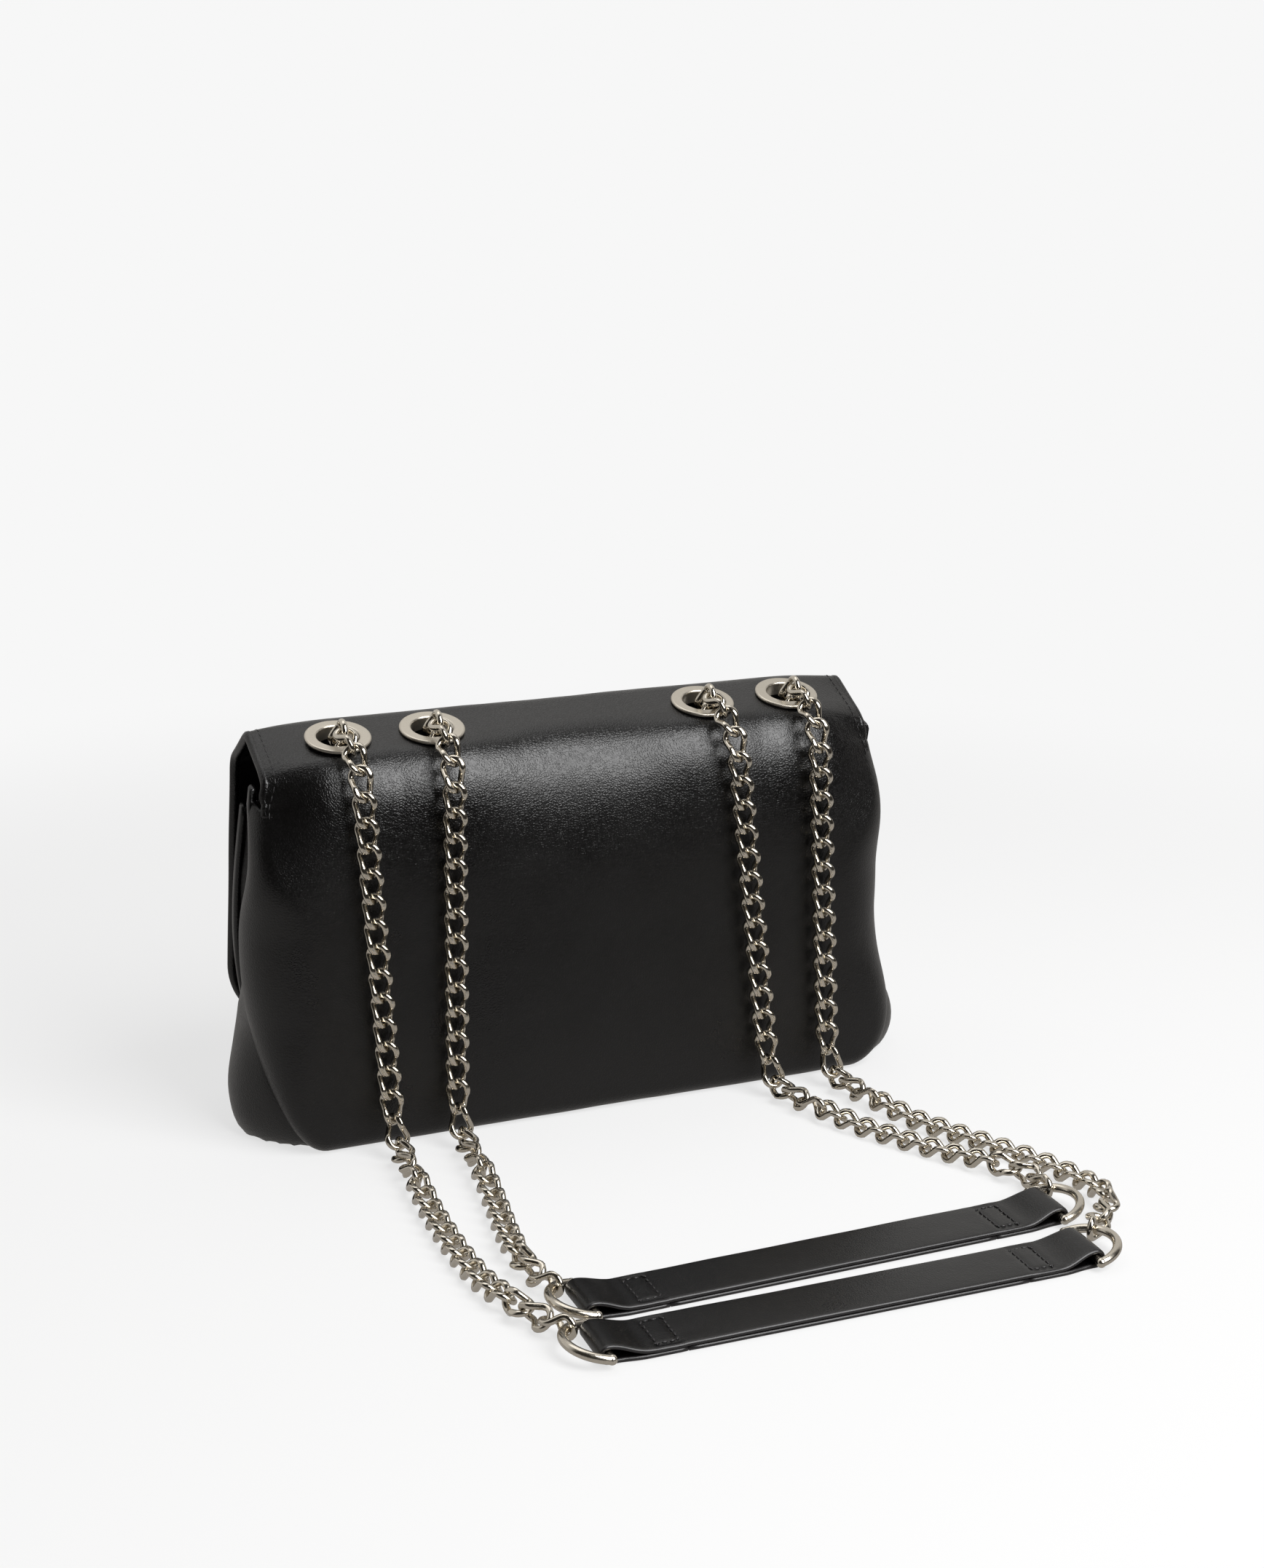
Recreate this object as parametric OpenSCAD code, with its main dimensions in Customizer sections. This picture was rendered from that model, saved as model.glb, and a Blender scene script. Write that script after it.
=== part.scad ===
/* [Bag body] */
// Depth of the base, front to back
base_d = 75; // [60:1:95]
// Length of the flat part of the base, end to end
base_l = 184; // [150:1:220]
// Length of the bag at its fullest height
belly_l = 253; // [235:1:290]
// Height at which the bag is longest
belly_z = 70; // [55:1:85]
// Length of the rear panel where the shoulder starts
shoulder_l = 241; // [225:1:250]
// Length of the bag along its top
top_l = 234; // [225:1:250]
// Height at which the rear shoulder starts to turn
rear_h = 130; // [115:1:150]
// Radius of the rear shoulder
shoulder_r = 12; // [9:0.5:16]
// Fall of the top towards the rear, in degrees
top_tilt = 14; // [8:1:18]
// Radius of the fold from the top to the front slope
ridge_r = 8; // [6:0.5:12]
// Fall of the front slope, in degrees
slope_tilt = 29; // [22:1:34]
// Length of the top, from the shoulder to the fold
top_run = 25.69; // [25.5:0.05:32]
// Radius of the flap's brow, where it turns down
brow_r = 14; // [10:0.5:20]
// Lean of the front face from upright, in degrees
front_tilt = 8; // [4:1:12]
// Height of the flap's hem above the floor
hem_z = 22; // [12:1:40]
// Radius of the flap's lower corners
hem_r = 30; // [15:1:45]
// Length of the flap at its hem, before the corners are rounded
flap_l = 242; // [225:1:250]
// Height of the front panel's mouth
mouth_z = 116; // [100:1:122]
// Width of the band along each end in which a panel rolls inwards
roll_band = 22; // [15:1:30]
// Depth of that roll at the very edge
roll_d = 4; // [1:0.5:7]

/* [Leather and lining] */
// Thickness of the body leather with its padding
wall_t = 2.4; // [1.6:0.1:3.2]
// Thickness of the gusset leather
gusset_t = 1.6; // [1:0.1:2.4]
// Thickness of the flap's outer leather
flap_t = 1.6; // [1:0.1:2.4]
// Thickness of the flap's facing
facing_t = 0.8; // [0.6:0.1:1.4]
// Thickness of the lining
lining_t = 0.8; // [0.6:0.1:1.2]
// Thickness of the base board
board_t = 2; // [1.5:0.1:3]
// Depth of the gusset's inward fold at its top
gusset_fold = 24; // [12:1:32]
// Swell of the gusset at the lower corners
gusset_swell = 4; // [1:0.5:6]
// Height of the facing band inside the mouth
band_h = 25; // [15:1:35]
// Clearance between plies that lie on each other
ply_gap = 0.3; // [0.2:0.05:0.5]

/* [Snap] */
// Diameter of each half of the magnetic snap
snap_d = 18; // [14:0.5:20]
// Height of the snap's socket half
socket_h = 2; // [1.8:0.1:2.4]
// Height of the snap's plate on the flap
plate_h = 1.1; // [0.8:0.1:1.4]
// Diameter of the snap's stud
stud_d = 6; // [5:0.1:7]
// Reach of the stud into the socket
stud_h = 1.4; // [1:0.1:1.6]
// Height of the snap above the floor
snap_z = 48; // [42:1:60]

/* [Eyelets] */
// Distance of the outer eyelets from the middle
eyelet_outer_x = 84.5; // [80:0.5:88]
// Distance of the inner eyelets from the middle
eyelet_inner_x = 51; // [47:0.5:54]
// Outer diameter of an eyelet
eyelet_d = 23; // [22:0.5:24]
// Hole diameter of an eyelet
eyelet_hole = 14.6; // [14.2:0.1:15]
// Thickness of an eyelet's rim
eyelet_t = 1.4; // [1:0.1:1.8]
// Wall of an eyelet's barrel
barrel_t = 0.8; // [0.6:0.1:1]
// Thickness of the washer inside
washer_t = 0.8; // [0.6:0.1:1.2]
// Distance of the eyelets' centres behind the fold
eyelet_inset = 13.4; // [12.6:0.1:14]

/* [Chain] */
// Diameter of the chain wire
wire_d = 2.2; // [2:0.05:2.3]
// Width of a chain link
link_w = 9.5; // [9.3:0.1:9.8]
// Distance from one link to the next
link_pitch = 9; // [8.9:0.05:9.1]
// Turn of each end of a link out of its plane, in degrees
link_turn = 36; // [34:1:38]
// Free length in a joint between two links
link_slack = 0.4; // [0.3:0.05:0.5]
// Height of the chain's bend above the rim of an eyelet
hook_w = 6.8; // [6.6:0.1:7.4]
// Distance of that bend behind the eyelet's centre
hook_v = 6; // [5.6:0.1:6.2]
// Distance of the chain's middle from the leather of the shoulder
chain_lift = 5.2; // [5.1:0.1:6]
// Drop of the chain inside the bag before it crosses over
inner_drop = 8; // [6:1:12]
// Radius of the bend where the chain reaches the floor
kick_r = 32; // [26:1:40]
// Turn of that bend, in degrees
kick_turn = 32; // [24:1:36]

/* [Shoulder strap] */
// Width of a leather strap
strap_w = 17.6; // [16:0.2:17.8]
// Distance between the bars of a strap's rings
strap_l = 164; // [150:1:180]
// Thickness of the strap leather
strap_t = 1.5; // [1.2:0.1:1.8]
// Length of the strap's turned end
turn_l = 24; // [18:1:30]
// Length over which the strap falls from its ring
strap_fall = 13; // [10:1:16]
// Outer width of a strap ring
ring_w = 25; // [24:0.2:27]
// Diameter of the ring wire
ring_d = 3; // [2.8:0.1:3.2]
// Lift of a ring's bow from level, in degrees
ring_lift = 12; // [11:0.5:13]

/* [Hidden] */
$fn = 32;
// clearance between a piece and what it seats on
seat = 0.1;
// overrun of every cut
over = 1;

black = "#1c1b1c";
dark = "#2b2a2c";
cloth = "#3a393b";
nickel = "#cfc8b8";

// The bag's side profile is a walk in the Y-Z plane. A stand is [y, z, heading].
function line_on(p, l) = [p[0] + l * cos(p[2]), p[1] + l * sin(p[2]), p[2]];
function arc_on(p, r, t) = [p[0] - r * sin(p[2]) + r * sin(p[2] + t),
  p[1] + r * cos(p[2]) - r * cos(p[2] + t), p[2] + t];
function line_walk(p, l, n) = [for (i = [1:n]) line_on(p, l * i / n)];
function arc_walk(p, r, t, n) = [for (i = [1:n]) arc_on(p, r, t * i / n)];

rear_y = base_d / 2;
flap_gap = socket_h + plate_h + 2 * ply_gap;
flap_all = flap_t + ply_gap + facing_t;
upright = 90;
shoulder_in = [rear_y, rear_h, upright];
shoulder_out = arc_on(shoulder_in, shoulder_r, 90 - top_tilt);
fold = line_on(shoulder_out, top_run);
ridge_out = arc_on(fold, ridge_r, top_tilt + slope_tilt);
// The slope runs forward until the walk's front face stands clear of the front panel by the snap.
front_line = -base_d / 2 - (flap_gap + flap_all) / cos(front_tilt);
trial = arc_on(ridge_out, brow_r, 90 - slope_tilt - front_tilt);
slope_run = (trial[0] - trial[1] * tan(front_tilt) - front_line)
  / (cos(slope_tilt) - sin(slope_tilt) * tan(front_tilt));
brow_in = line_on(ridge_out, slope_run);
brow_out = arc_on(brow_in, brow_r, 90 - slope_tilt - front_tilt);
front_run = (brow_out[1] - hem_z) / cos(front_tilt);

// The end outline: half length against height, as two cubic curves
function bez(a, b, c, d, t) = a * pow(1 - t, 3) + b * 3 * t * pow(1 - t, 2)
  + c * 3 * t * t * (1 - t) + d * pow(t, 3);
corner_shares = [0.61, 0.6];
side_shares = [0.35, 0.35, 0.7];
function low_side(t) = bez([base_l / 2, 0], [base_l / 2 + corner_shares[0] * (belly_l - base_l) / 2, 0],
  [belly_l / 2, corner_shares[1] * belly_z], [belly_l / 2, belly_z], t);
function high_side(t) = bez([belly_l / 2, belly_z], [belly_l / 2, belly_z + side_shares[0] * (rear_h - belly_z)],
  [shoulder_l / 2 + side_shares[1] * (belly_l - shoulder_l) / 2, belly_z + side_shares[2] * (rear_h - belly_z)],
  [shoulder_l / 2, rear_h], t);
low_steps = 6;
high_steps = 4;
side = concat([for (i = [0:low_steps]) low_side(i / low_steps)],
  [for (i = [1:high_steps]) high_side(i / high_steps)]);
side_table = [for (p = side) [p[1], p[0]]];
function side_x(z) = lookup(z, side_table);

// A row of a panel is [y, z, heading, half length, share of the roll].
function ease(t) = t <= 0 ? 0 : t >= 1 ? 1 : t * t * (3 - 2 * t);
function rolled(z) = ease(z / belly_z);
rear_rows = concat(
  [for (p = side) [rear_y, p[1], upright, p[0], rolled(p[1])]],
  let (w = arc_walk(shoulder_in, shoulder_r, 90 - top_tilt, 5))
    [for (i = [0:len(w) - 1]) [w[i][0], w[i][1], w[i][2],
      (shoulder_l + (top_l - shoulder_l) * (i + 1) / len(w)) / 2, 1]],
  [for (p = line_walk(shoulder_out, top_run, 2)) [p[0], p[1], p[2], top_l / 2, 1]]);

flap_start = concat([fold], arc_walk(fold, ridge_r, top_tilt + slope_tilt, 3), line_walk(ridge_out, slope_run, 2),
  arc_walk(brow_in, brow_r, 90 - slope_tilt - front_tilt, 4), line_walk(brow_out, front_run - hem_r, 4));
function flap_half(i) = (top_l + (flap_l - top_l) * i / (len(flap_start) - 1)) / 2;
hem_steps = 5;
hem_flat_share = 0.7;
flap_rows = concat(
  [for (i = [0:len(flap_start) - 1]) [flap_start[i][0], flap_start[i][1], flap_start[i][2], flap_half(i), 1]],
  let (p = line_on(brow_out, front_run - hem_r)) [for (i = [1:hem_steps])
    let (a = 90 * i / hem_steps, q = line_on(p, hem_r * sin(a)))
    [q[0], q[1], q[2], flap_l / 2 - hem_r * (1 - cos(a)), 1 - hem_flat_share * i / hem_steps]]);

// The front panel stands on the base and leans with the flap.
front_foot = wall_t * sin(front_tilt);
function front_row(x, z) = let (h = max(z, front_foot)) [-base_d / 2 + h * tan(front_tilt), h, 270 - front_tilt, x, rolled(z)];
front_all = concat([front_row(side_x(mouth_z), mouth_z)],
  [for (i = [len(side) - 1:-1:0]) if (side[i][1] < mouth_z - over) front_row(side[i][0], side[i][1])]);

// A point of a panel: u runs from -1 to 1 along the row, off is the depth under the face.
function dip(row, u) = row[4] * roll_d * pow(max(0, (abs(u) * row[3] - row[3] + roll_band) / roll_band), 2);
function panel_pt(row, u, off, trim = 0) = let (d = off + dip(row, u))
  [u * (row[3] - trim), row[0] - d * sin(row[2]), row[1] + d * cos(row[2])];

// A closed sheet between two equal grids of points
module sheet(outer, inner) {
  n = len(outer);
  m = len(outer[0]);
  pts = concat([for (r = outer) for (p = r) p], [for (r = inner) for (p = r) p]);
  function o(i, j) = i * m + j;
  function k(i, j) = n * m + i * m + j;
  polyhedron(pts, concat(
    [for (i = [0:n - 2], j = [0:m - 2]) each [[o(i, j), o(i + 1, j + 1), o(i + 1, j)], [o(i, j), o(i, j + 1), o(i + 1, j + 1)]]],
    [for (i = [0:n - 2], j = [0:m - 2]) each [[k(i, j), k(i + 1, j), k(i + 1, j + 1)], [k(i, j), k(i + 1, j + 1), k(i, j + 1)]]],
    [for (i = [0:n - 2]) each [[o(i, 0), k(i + 1, 0), k(i, 0)], [o(i, 0), o(i + 1, 0), k(i + 1, 0)]]],
    [for (i = [0:n - 2], l = m - 1) each [[o(i, l), k(i, l), k(i + 1, l)], [o(i, l), k(i + 1, l), o(i + 1, l)]]],
    [for (j = [0:m - 2]) each [[o(0, j), k(0, j), k(0, j + 1)], [o(0, j), k(0, j + 1), o(0, j + 1)]]],
    [for (j = [0:m - 2], l = n - 1) each [[o(l, j), k(l, j + 1), k(l, j)], [o(l, j), o(l, j + 1), k(l, j + 1)]]]));
}

column_shares = [-1, -0.975, -0.95, -0.92, -0.88, -0.83, -0.5, 0, 0.5, 0.83, 0.88, 0.92, 0.95, 0.975, 1];
plain_shares = [-1, -0.94, -0.88, -0.82, 0, 0.82, 0.88, 0.94, 1];
module panel(rows, off, t, shares = column_shares, trim = 0) {
  sheet([for (r = rows) [for (u = shares) panel_pt(r, u, off, trim)]],
    [for (r = rows) [for (u = shares) panel_pt(r, u, off + t, trim)]]);
}

// The eyelets stand on the top, in a frame of their own: v to the rear, w away from the leather.
eyelet_at = [fold[0] + eyelet_inset * cos(top_tilt), fold[1] - eyelet_inset * sin(top_tilt)];
function on_top(v, w) = [eyelet_at[0] + v * cos(top_tilt) + w * sin(top_tilt),
  eyelet_at[1] - v * sin(top_tilt) + w * cos(top_tilt)];
module at_eyelet(x) {
  translate([x, eyelet_at[0], eyelet_at[1]]) rotate([-top_tilt, 0, 0]) children();
}
barrel_d = eyelet_hole + 2 * barrel_t;
barrel_h = wall_t + washer_t + 3 * seat;
module eyelet(x) {
  color(nickel) at_eyelet(x) {
    translate([0, 0, seat]) rotate_extrude() {
      translate([eyelet_hole / 2 + eyelet_t / 2, 0]) square([(eyelet_d - eyelet_hole) / 2 - eyelet_t, eyelet_t]);
      translate([eyelet_d / 2 - eyelet_t / 2, eyelet_t / 2]) circle(d = eyelet_t);
      translate([eyelet_hole / 2 + eyelet_t / 2, eyelet_t / 2]) circle(d = eyelet_t);
      translate([eyelet_hole / 2, -barrel_h]) square([barrel_t, barrel_h + eyelet_t / 2]);
    }
  }
}
module washer(x) {
  color(nickel) at_eyelet(x) translate([0, 0, -wall_t - seat - washer_t]) difference() {
    cylinder(d = eyelet_d - eyelet_t, h = washer_t);
    translate([0, 0, -over]) cylinder(d = barrel_d + 2 * seat, h = washer_t + 2 * over);
  }
}
eyelet_xs = [eyelet_outer_x, eyelet_inner_x, -eyelet_inner_x, -eyelet_outer_x];

module base_panel() {
  d = base_d - 2 * (wall_t / cos(front_tilt) + front_foot + ply_gap);
  color(black) linear_extrude(wall_t) square([base_l - 2 * seat, d], center = true);
}
board_corner = 6;
module base_board() {
  w = base_l - 2 * board_corner;
  d = base_d - 2 * (wall_t + lining_t + 4 * ply_gap);
  color(cloth) translate([0, 0, wall_t + seat]) linear_extrude(board_t) union() {
    square([w, d - 2 * board_corner], center = true);
    square([w - 2 * board_corner, d], center = true);
    for (sx = [-1, 1], sy = [-1, 1]) translate([sx * (w / 2 - board_corner), sy * (d / 2 - board_corner)])
      circle(r = board_corner);
  }
}
module rear_panel() {
  color(black) difference() {
    panel(rear_rows, 0, wall_t);
    for (x = eyelet_xs) at_eyelet(x) translate([0, 0, -wall_t - over])
      cylinder(d = barrel_d + 2 * seat, h = wall_t + 2 * over);
  }
}
module front_panel() {
  color(black) panel(front_all, 0, wall_t);
}
// Rows of the flap stop short of the fold by a clearance.
function clear_fold(rows) = let (r = rows[0], q = line_on([r[0], r[1], r[2]], ply_gap))
  concat([[q[0], q[1], q[2], r[3], r[4]]], [for (i = [1:len(rows) - 1]) rows[i]]);
module flap() {
  color(black) panel(clear_fold(flap_rows), 0, flap_t);
}
facing_trim = 2;
module flap_facing() {
  rows = clear_fold(flap_rows);
  color(dark) panel([for (i = [0:len(rows) - 2]) rows[i]], flap_t + ply_gap, facing_t, trim = facing_trim);
}

// Lining and facing inside: rows between two heights, trimmed clear of the gussets
function rows_above(rows, z) = [for (r = rows) if (r[1] >= z) r];
lining_foot = wall_t + board_t + 2 * seat;
lining_trim = 5;
band_trim = 4;
module mouth_band() {
  color(black) panel(concat([front_all[0]], [front_row(side_x(mouth_z - band_h), mouth_z - band_h)]),
    wall_t + ply_gap, facing_t, plain_shares, band_trim);
}
module lining_front() {
  off = wall_t + 2 * ply_gap + facing_t;
  foot_z = lining_foot + (off + lining_t) * sin(front_tilt);
  color(cloth) panel(concat([front_row(side_x(mouth_z - seat), mouth_z - seat)],
    [for (r = front_all) if (r[1] > foot_z + over && r[1] < mouth_z - over) r], [front_row(side_x(foot_z), foot_z)]),
    off, lining_t, plain_shares, lining_trim);
}
module lining_rear() {
  foot = [rear_y, lining_foot, upright, side_x(lining_foot), rolled(lining_foot)];
  color(cloth) panel(concat([foot], [for (r = rear_rows) if (r[1] > lining_foot + over && r[1] < rear_h) r]),
    wall_t + ply_gap, lining_t, plain_shares, lining_trim);
}

// A gusset is a band between the rear and front panels. Its row i follows the end outline.
gusset_v_shares = [0, 0.08, 0.2, 0.35, 0.5, 0.65, 0.8, 0.92, 1];
gusset_drop = 3;
function upper(z, top) = z <= belly_z ? z : belly_z + (z - belly_z) * (top - belly_z) / (rear_h - belly_z);
function side_way(i) = let (a = side[max(i - 1, 0)], b = side[min(i + 1, len(side) - 1)]) (b - a) / norm(b - a);
function gusset_pt(i, v, off) = let (p = side[i],
    zr = upper(p[1], rear_h - gusset_drop),
    zf = upper(p[1], mouth_z - gusset_drop),
    way = i == 0 ? [1, 0] : side_way(i),
    a = panel_pt([rear_y, zr, upright, side_x(zr), rolled(zr)], 1, wall_t + ply_gap),
    b = panel_pt(front_row(side_x(zf), zf), 1, wall_t + ply_gap),
    shut = ease((p[1] - belly_z) / (rear_h - belly_z)) * gusset_fold * (1 - abs(2 * v - 1)),
    puff = gusset_swell * sin(180 * v) * sin(180 * min(1, p[1] / belly_z)))
  [a[0] + (b[0] - a[0]) * v - shut + puff - off * way[1], a[1] + (b[1] - a[1]) * v,
    max(0, zr + (zf - zr) * v) + off * way[0]];
module gusset() {
  n = len(side) - 1;
  sheet([for (i = [0:n]) [for (v = gusset_v_shares) gusset_pt(i, v, 0)]],
    [for (i = [0:n]) [for (v = gusset_v_shares) gusset_pt(i, v, gusset_t)]]);
}
module gusset_left() { color(dark) gusset(); }
module gusset_right() { color(dark) mirror([1, 0, 0]) gusset(); }

// A ribbon of square section along a row of points, lying on the gusset's top edge
trim_h = 2.4;
trim_t = 2.6;
module gusset_trim() {
  n = len(side) - 1;
  function at(v, x, z) = gusset_pt(n, v, gusset_t / 2) + [x, 0, z];
  sheet([for (z = [ply_gap, trim_h]) [for (v = gusset_v_shares) at(v, trim_t / 2, z)]],
    [for (z = [ply_gap, trim_h]) [for (v = gusset_v_shares) at(v, -trim_t / 2, z)]]);
}
module gusset_trim_left() { color(black) gusset_trim(); }
module gusset_trim_right() { color(black) mirror([1, 0, 0]) gusset_trim(); }

// The two halves of the magnetic snap stand face to face between the front panel and the flap.
stud_clear = 0.5;
module at_snap() {
  translate([0, -base_d / 2 + snap_z * tan(front_tilt), snap_z]) rotate([90 - front_tilt, 0, 0]) children();
}
module snap_socket() {
  color(nickel) at_snap() translate([0, 0, seat]) difference() {
    cylinder(d = snap_d, h = socket_h);
    translate([0, 0, socket_h - stud_h - 2 * seat]) cylinder(d = stud_d + 2 * stud_clear, h = stud_h + over);
  }
}
module snap_stud() {
  color(nickel) at_snap() translate([0, 0, flap_gap - seat]) mirror([0, 0, 1]) {
    cylinder(d = snap_d, h = plate_h);
    cylinder(d = stud_d, h = plate_h + stud_h);
  }
}

// One curb link along X: two half loops turned out of the link's plane, joined by straight bars
loop_r = (link_w - wire_d) / 2;
link_l = link_pitch + link_slack + wire_d;
loop_x = link_l / 2 - loop_r;
bar_over = 0.55;
side_d = wire_d + 0.06;
module half_loop() {
  rotate([0, 0, -90]) rotate_extrude(angle = 180) translate([loop_r, 0]) circle(d = wire_d);
}
module link_bar() {
  a = [-loop_x, loop_r * cos(link_turn), loop_r * sin(link_turn)];
  b = [loop_x, loop_r * cos(link_turn), -loop_r * sin(link_turn)];
  d = b - a;
  translate(a) rotate([0, acos(d[2] / norm(d)), atan2(d[1], d[0])]) translate([0, 0, -bar_over])
    cylinder(d = side_d, h = norm(d) + 2 * bar_over);
}
module link() {
  rotate([-link_turn, 0, 0]) translate([loop_x, 0, 0]) half_loop();
  rotate([link_turn, 0, 0]) translate([-loop_x, 0, 0]) rotate([0, 0, 180]) half_loop();
  link_bar();
  rotate([180, 0, 0]) link_bar();
}

// A strand is links on a line of points. Each link rolls about its own way, so that both ends of
// the strand hinge on what they hang from.
function unit(v) = v / norm(v);
function run(p) = [for (i = 0, s = 0; i < len(p); s = s + (i + 1 < len(p) ? norm(p[i + 1] - p[i]) : 0), i = i + 1) s];
function joints(p, n) = let (c = run(p), l = c[len(c) - 1])
  [for (k = [0:n]) [for (ax = [0:2]) lookup(l * k / n, [for (i = [0:len(p) - 1]) [c[i], p[i][ax]]])]];
long_turn = 3;
function end_roll(k, links) = links == 1 ? link_turn * (1 - k) : (90 + link_turn) * max(0, 1 - k / links);
function roll(i, n, head, tail) = i < n / 2 ? 180 - end_roll(min(i, head), head) : 180 + end_roll(min(n - 1 - i, tail), tail);
module strand(p, across, head, tail) {
  c = run(p);
  n = round(c[len(c) - 1] / link_pitch);
  j = joints(p, n);
  for (i = [0:n - 1]) {
    d = unit(j[i + 1] - j[i]);
    w = unit(cross(across, d));
    b = cross(w, d);
    m = (j[i] + j[i + 1]) / 2;
    multmatrix([[d[0], b[0], w[0], m[0]], [d[1], b[1], w[1], m[1]], [d[2], b[2], w[2], m[2]], [0, 0, 0, 1]])
      rotate([roll(i, n, head, tail), 0, 0]) link();
  }
}

// The chain bends over the rim at the hook, where the hanging strand swings.
grip = (link_l - link_pitch) / 2;
hook = on_top(hook_v, hook_w);
shoulder_c = [rear_y - shoulder_r, rear_h];
chain_r = shoulder_r + chain_lift;
hook_way = hook - shoulder_c;
touch = atan2(hook_way[1], hook_way[0]) - acos(chain_r / norm(hook_way));
chain_y = shoulder_c[0] + chain_r;
floor_hook_z = link_w / 2 + 2 * seat;
kick_z = floor_hook_z + grip * cos(kick_turn) + kick_r * sin(kick_turn);
hang_steps = 8;
hang_plane = concat([hook + grip * [sin(touch), -cos(touch)]],
  [for (i = [0:hang_steps]) let (a = touch * (1 - i / hang_steps)) shoulder_c + chain_r * [cos(a), sin(a)]],
  [for (i = [0:hang_steps]) let (a = kick_turn * i / hang_steps) [chain_y + kick_r * (1 - cos(a)), kick_z - kick_r * sin(a)]]);
floor_hook = [chain_y + kick_r * (1 - cos(kick_turn)) + grip * sin(kick_turn), floor_hook_z];
function leaned(p, x0, x1) = let (c = run(p), l = c[len(c) - 1])
  [for (i = [0:len(p) - 1]) [x0 + (x1 - x0) * c[i] / l, p[i][0], p[i][1]]];
module hang(x0, x1) { color(nickel) strand(leaned(hang_plane, x0, x1), [1, 0, 0], 1, 1); }

// Inside the bag the chain drops from one eyelet and comes up through the next.
riser_v = 2;
riser_w = -2;
inner_steps = 16;
module inside(x0, x1) {
  r = (x0 - x1) / 2;
  down = unit([riser_v - hook_v, riser_w - hook_w]);
  plane = concat([[x0, hook_v - grip * down[0], hook_w - grip * down[1]], [x0, riser_v, riser_w]],
    [for (i = [0:inner_steps]) let (a = 180 * i / inner_steps) [x0 - r + r * cos(a), riser_v, riser_w - inner_drop - r * sin(a)]],
    [[x1, riser_v, riser_w], [x1, hook_v - grip * down[0], hook_w - grip * down[1]]]);
  color(nickel) strand([for (q = plane) let (t = on_top(q[1], q[2])) [q[0], t[0], t[1]]],
    [0, -cos(top_tilt), sin(top_tilt)], 1, 1);
}

// Straps lie behind the bag. Each has a frame from its left ring's bar to its right ring's bar.
strap_rear_at = [53.5, 169.6];
strap_front_at = [58.5, 195];
strap_rear_way = 180.8;
strap_front_way = 179.3;
function strap_pt(at, way, x, y) = at + x * [cos(way), sin(way)] + y * [-sin(way), cos(way)];
bow_r = (ring_w - ring_d) / 2;
bar_d = ring_d - 2 * seat;
turn_gap = 0.25;
loop_in = bar_d / 2 + turn_gap;
loop_out = loop_in + strap_t;
bar_z = loop_out + seat;
lap_z = strap_t + 2 * seat;
module at_strap(at, way) { translate([at[0], at[1], 0]) rotate([0, 0, way]) children(); }
ball_over = 0.3;
module ring(at, way, x, side) {
  color(nickel) at_strap(at, way) translate([x, 0, bar_z]) rotate([0, 0, side > 0 ? 0 : 180]) rotate([0, -ring_lift, 0]) {
    rotate([0, 0, -90]) rotate_extrude(angle = 180) translate([bow_r, 0]) circle(d = ring_d);
    translate([0, -bow_r, 0]) rotate([-90, 0, 0]) cylinder(d = bar_d, h = 2 * bow_r);
    for (s = [-1, 1]) translate([0, s * bow_r, 0]) rotate([90, 0, 0]) sphere(d = ring_d + ball_over);
  }
}
function fall_z(x) = bar_z + loop_in - (bar_z + loop_in - lap_z) * ease(x / strap_fall);
fall_steps = 8;
module strap_end() {
  translate([0, bar_z]) difference() {
    circle(r = loop_out);
    circle(r = loop_in);
    translate([0, -loop_out - over]) square([loop_out + over, 2 * (loop_out + over)]);
  }
  translate([0, seat]) square([turn_l, strap_t]);
  polygon(concat([for (i = [0:fall_steps]) [strap_fall * i / fall_steps, fall_z(strap_fall * i / fall_steps)]],
    [for (i = [fall_steps:-1:0]) [strap_fall * i / fall_steps, fall_z(strap_fall * i / fall_steps) + strap_t]]));
}
module strap(at, way) {
  color(black) at_strap(at, way) rotate([90, 0, 0]) linear_extrude(strap_w, center = true) {
    strap_end();
    translate([strap_l, 0]) mirror([1, 0]) strap_end();
    translate([strap_fall, lap_z]) square([strap_l - 2 * strap_fall, strap_t]);
  }
}
module backing(at, way) {
  color(dark) at_strap(at, way) translate([turn_l + ply_gap, -strap_w / 2, seat])
    cube([strap_l - 2 * (turn_l + ply_gap), strap_w, strap_t]);
}

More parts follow.
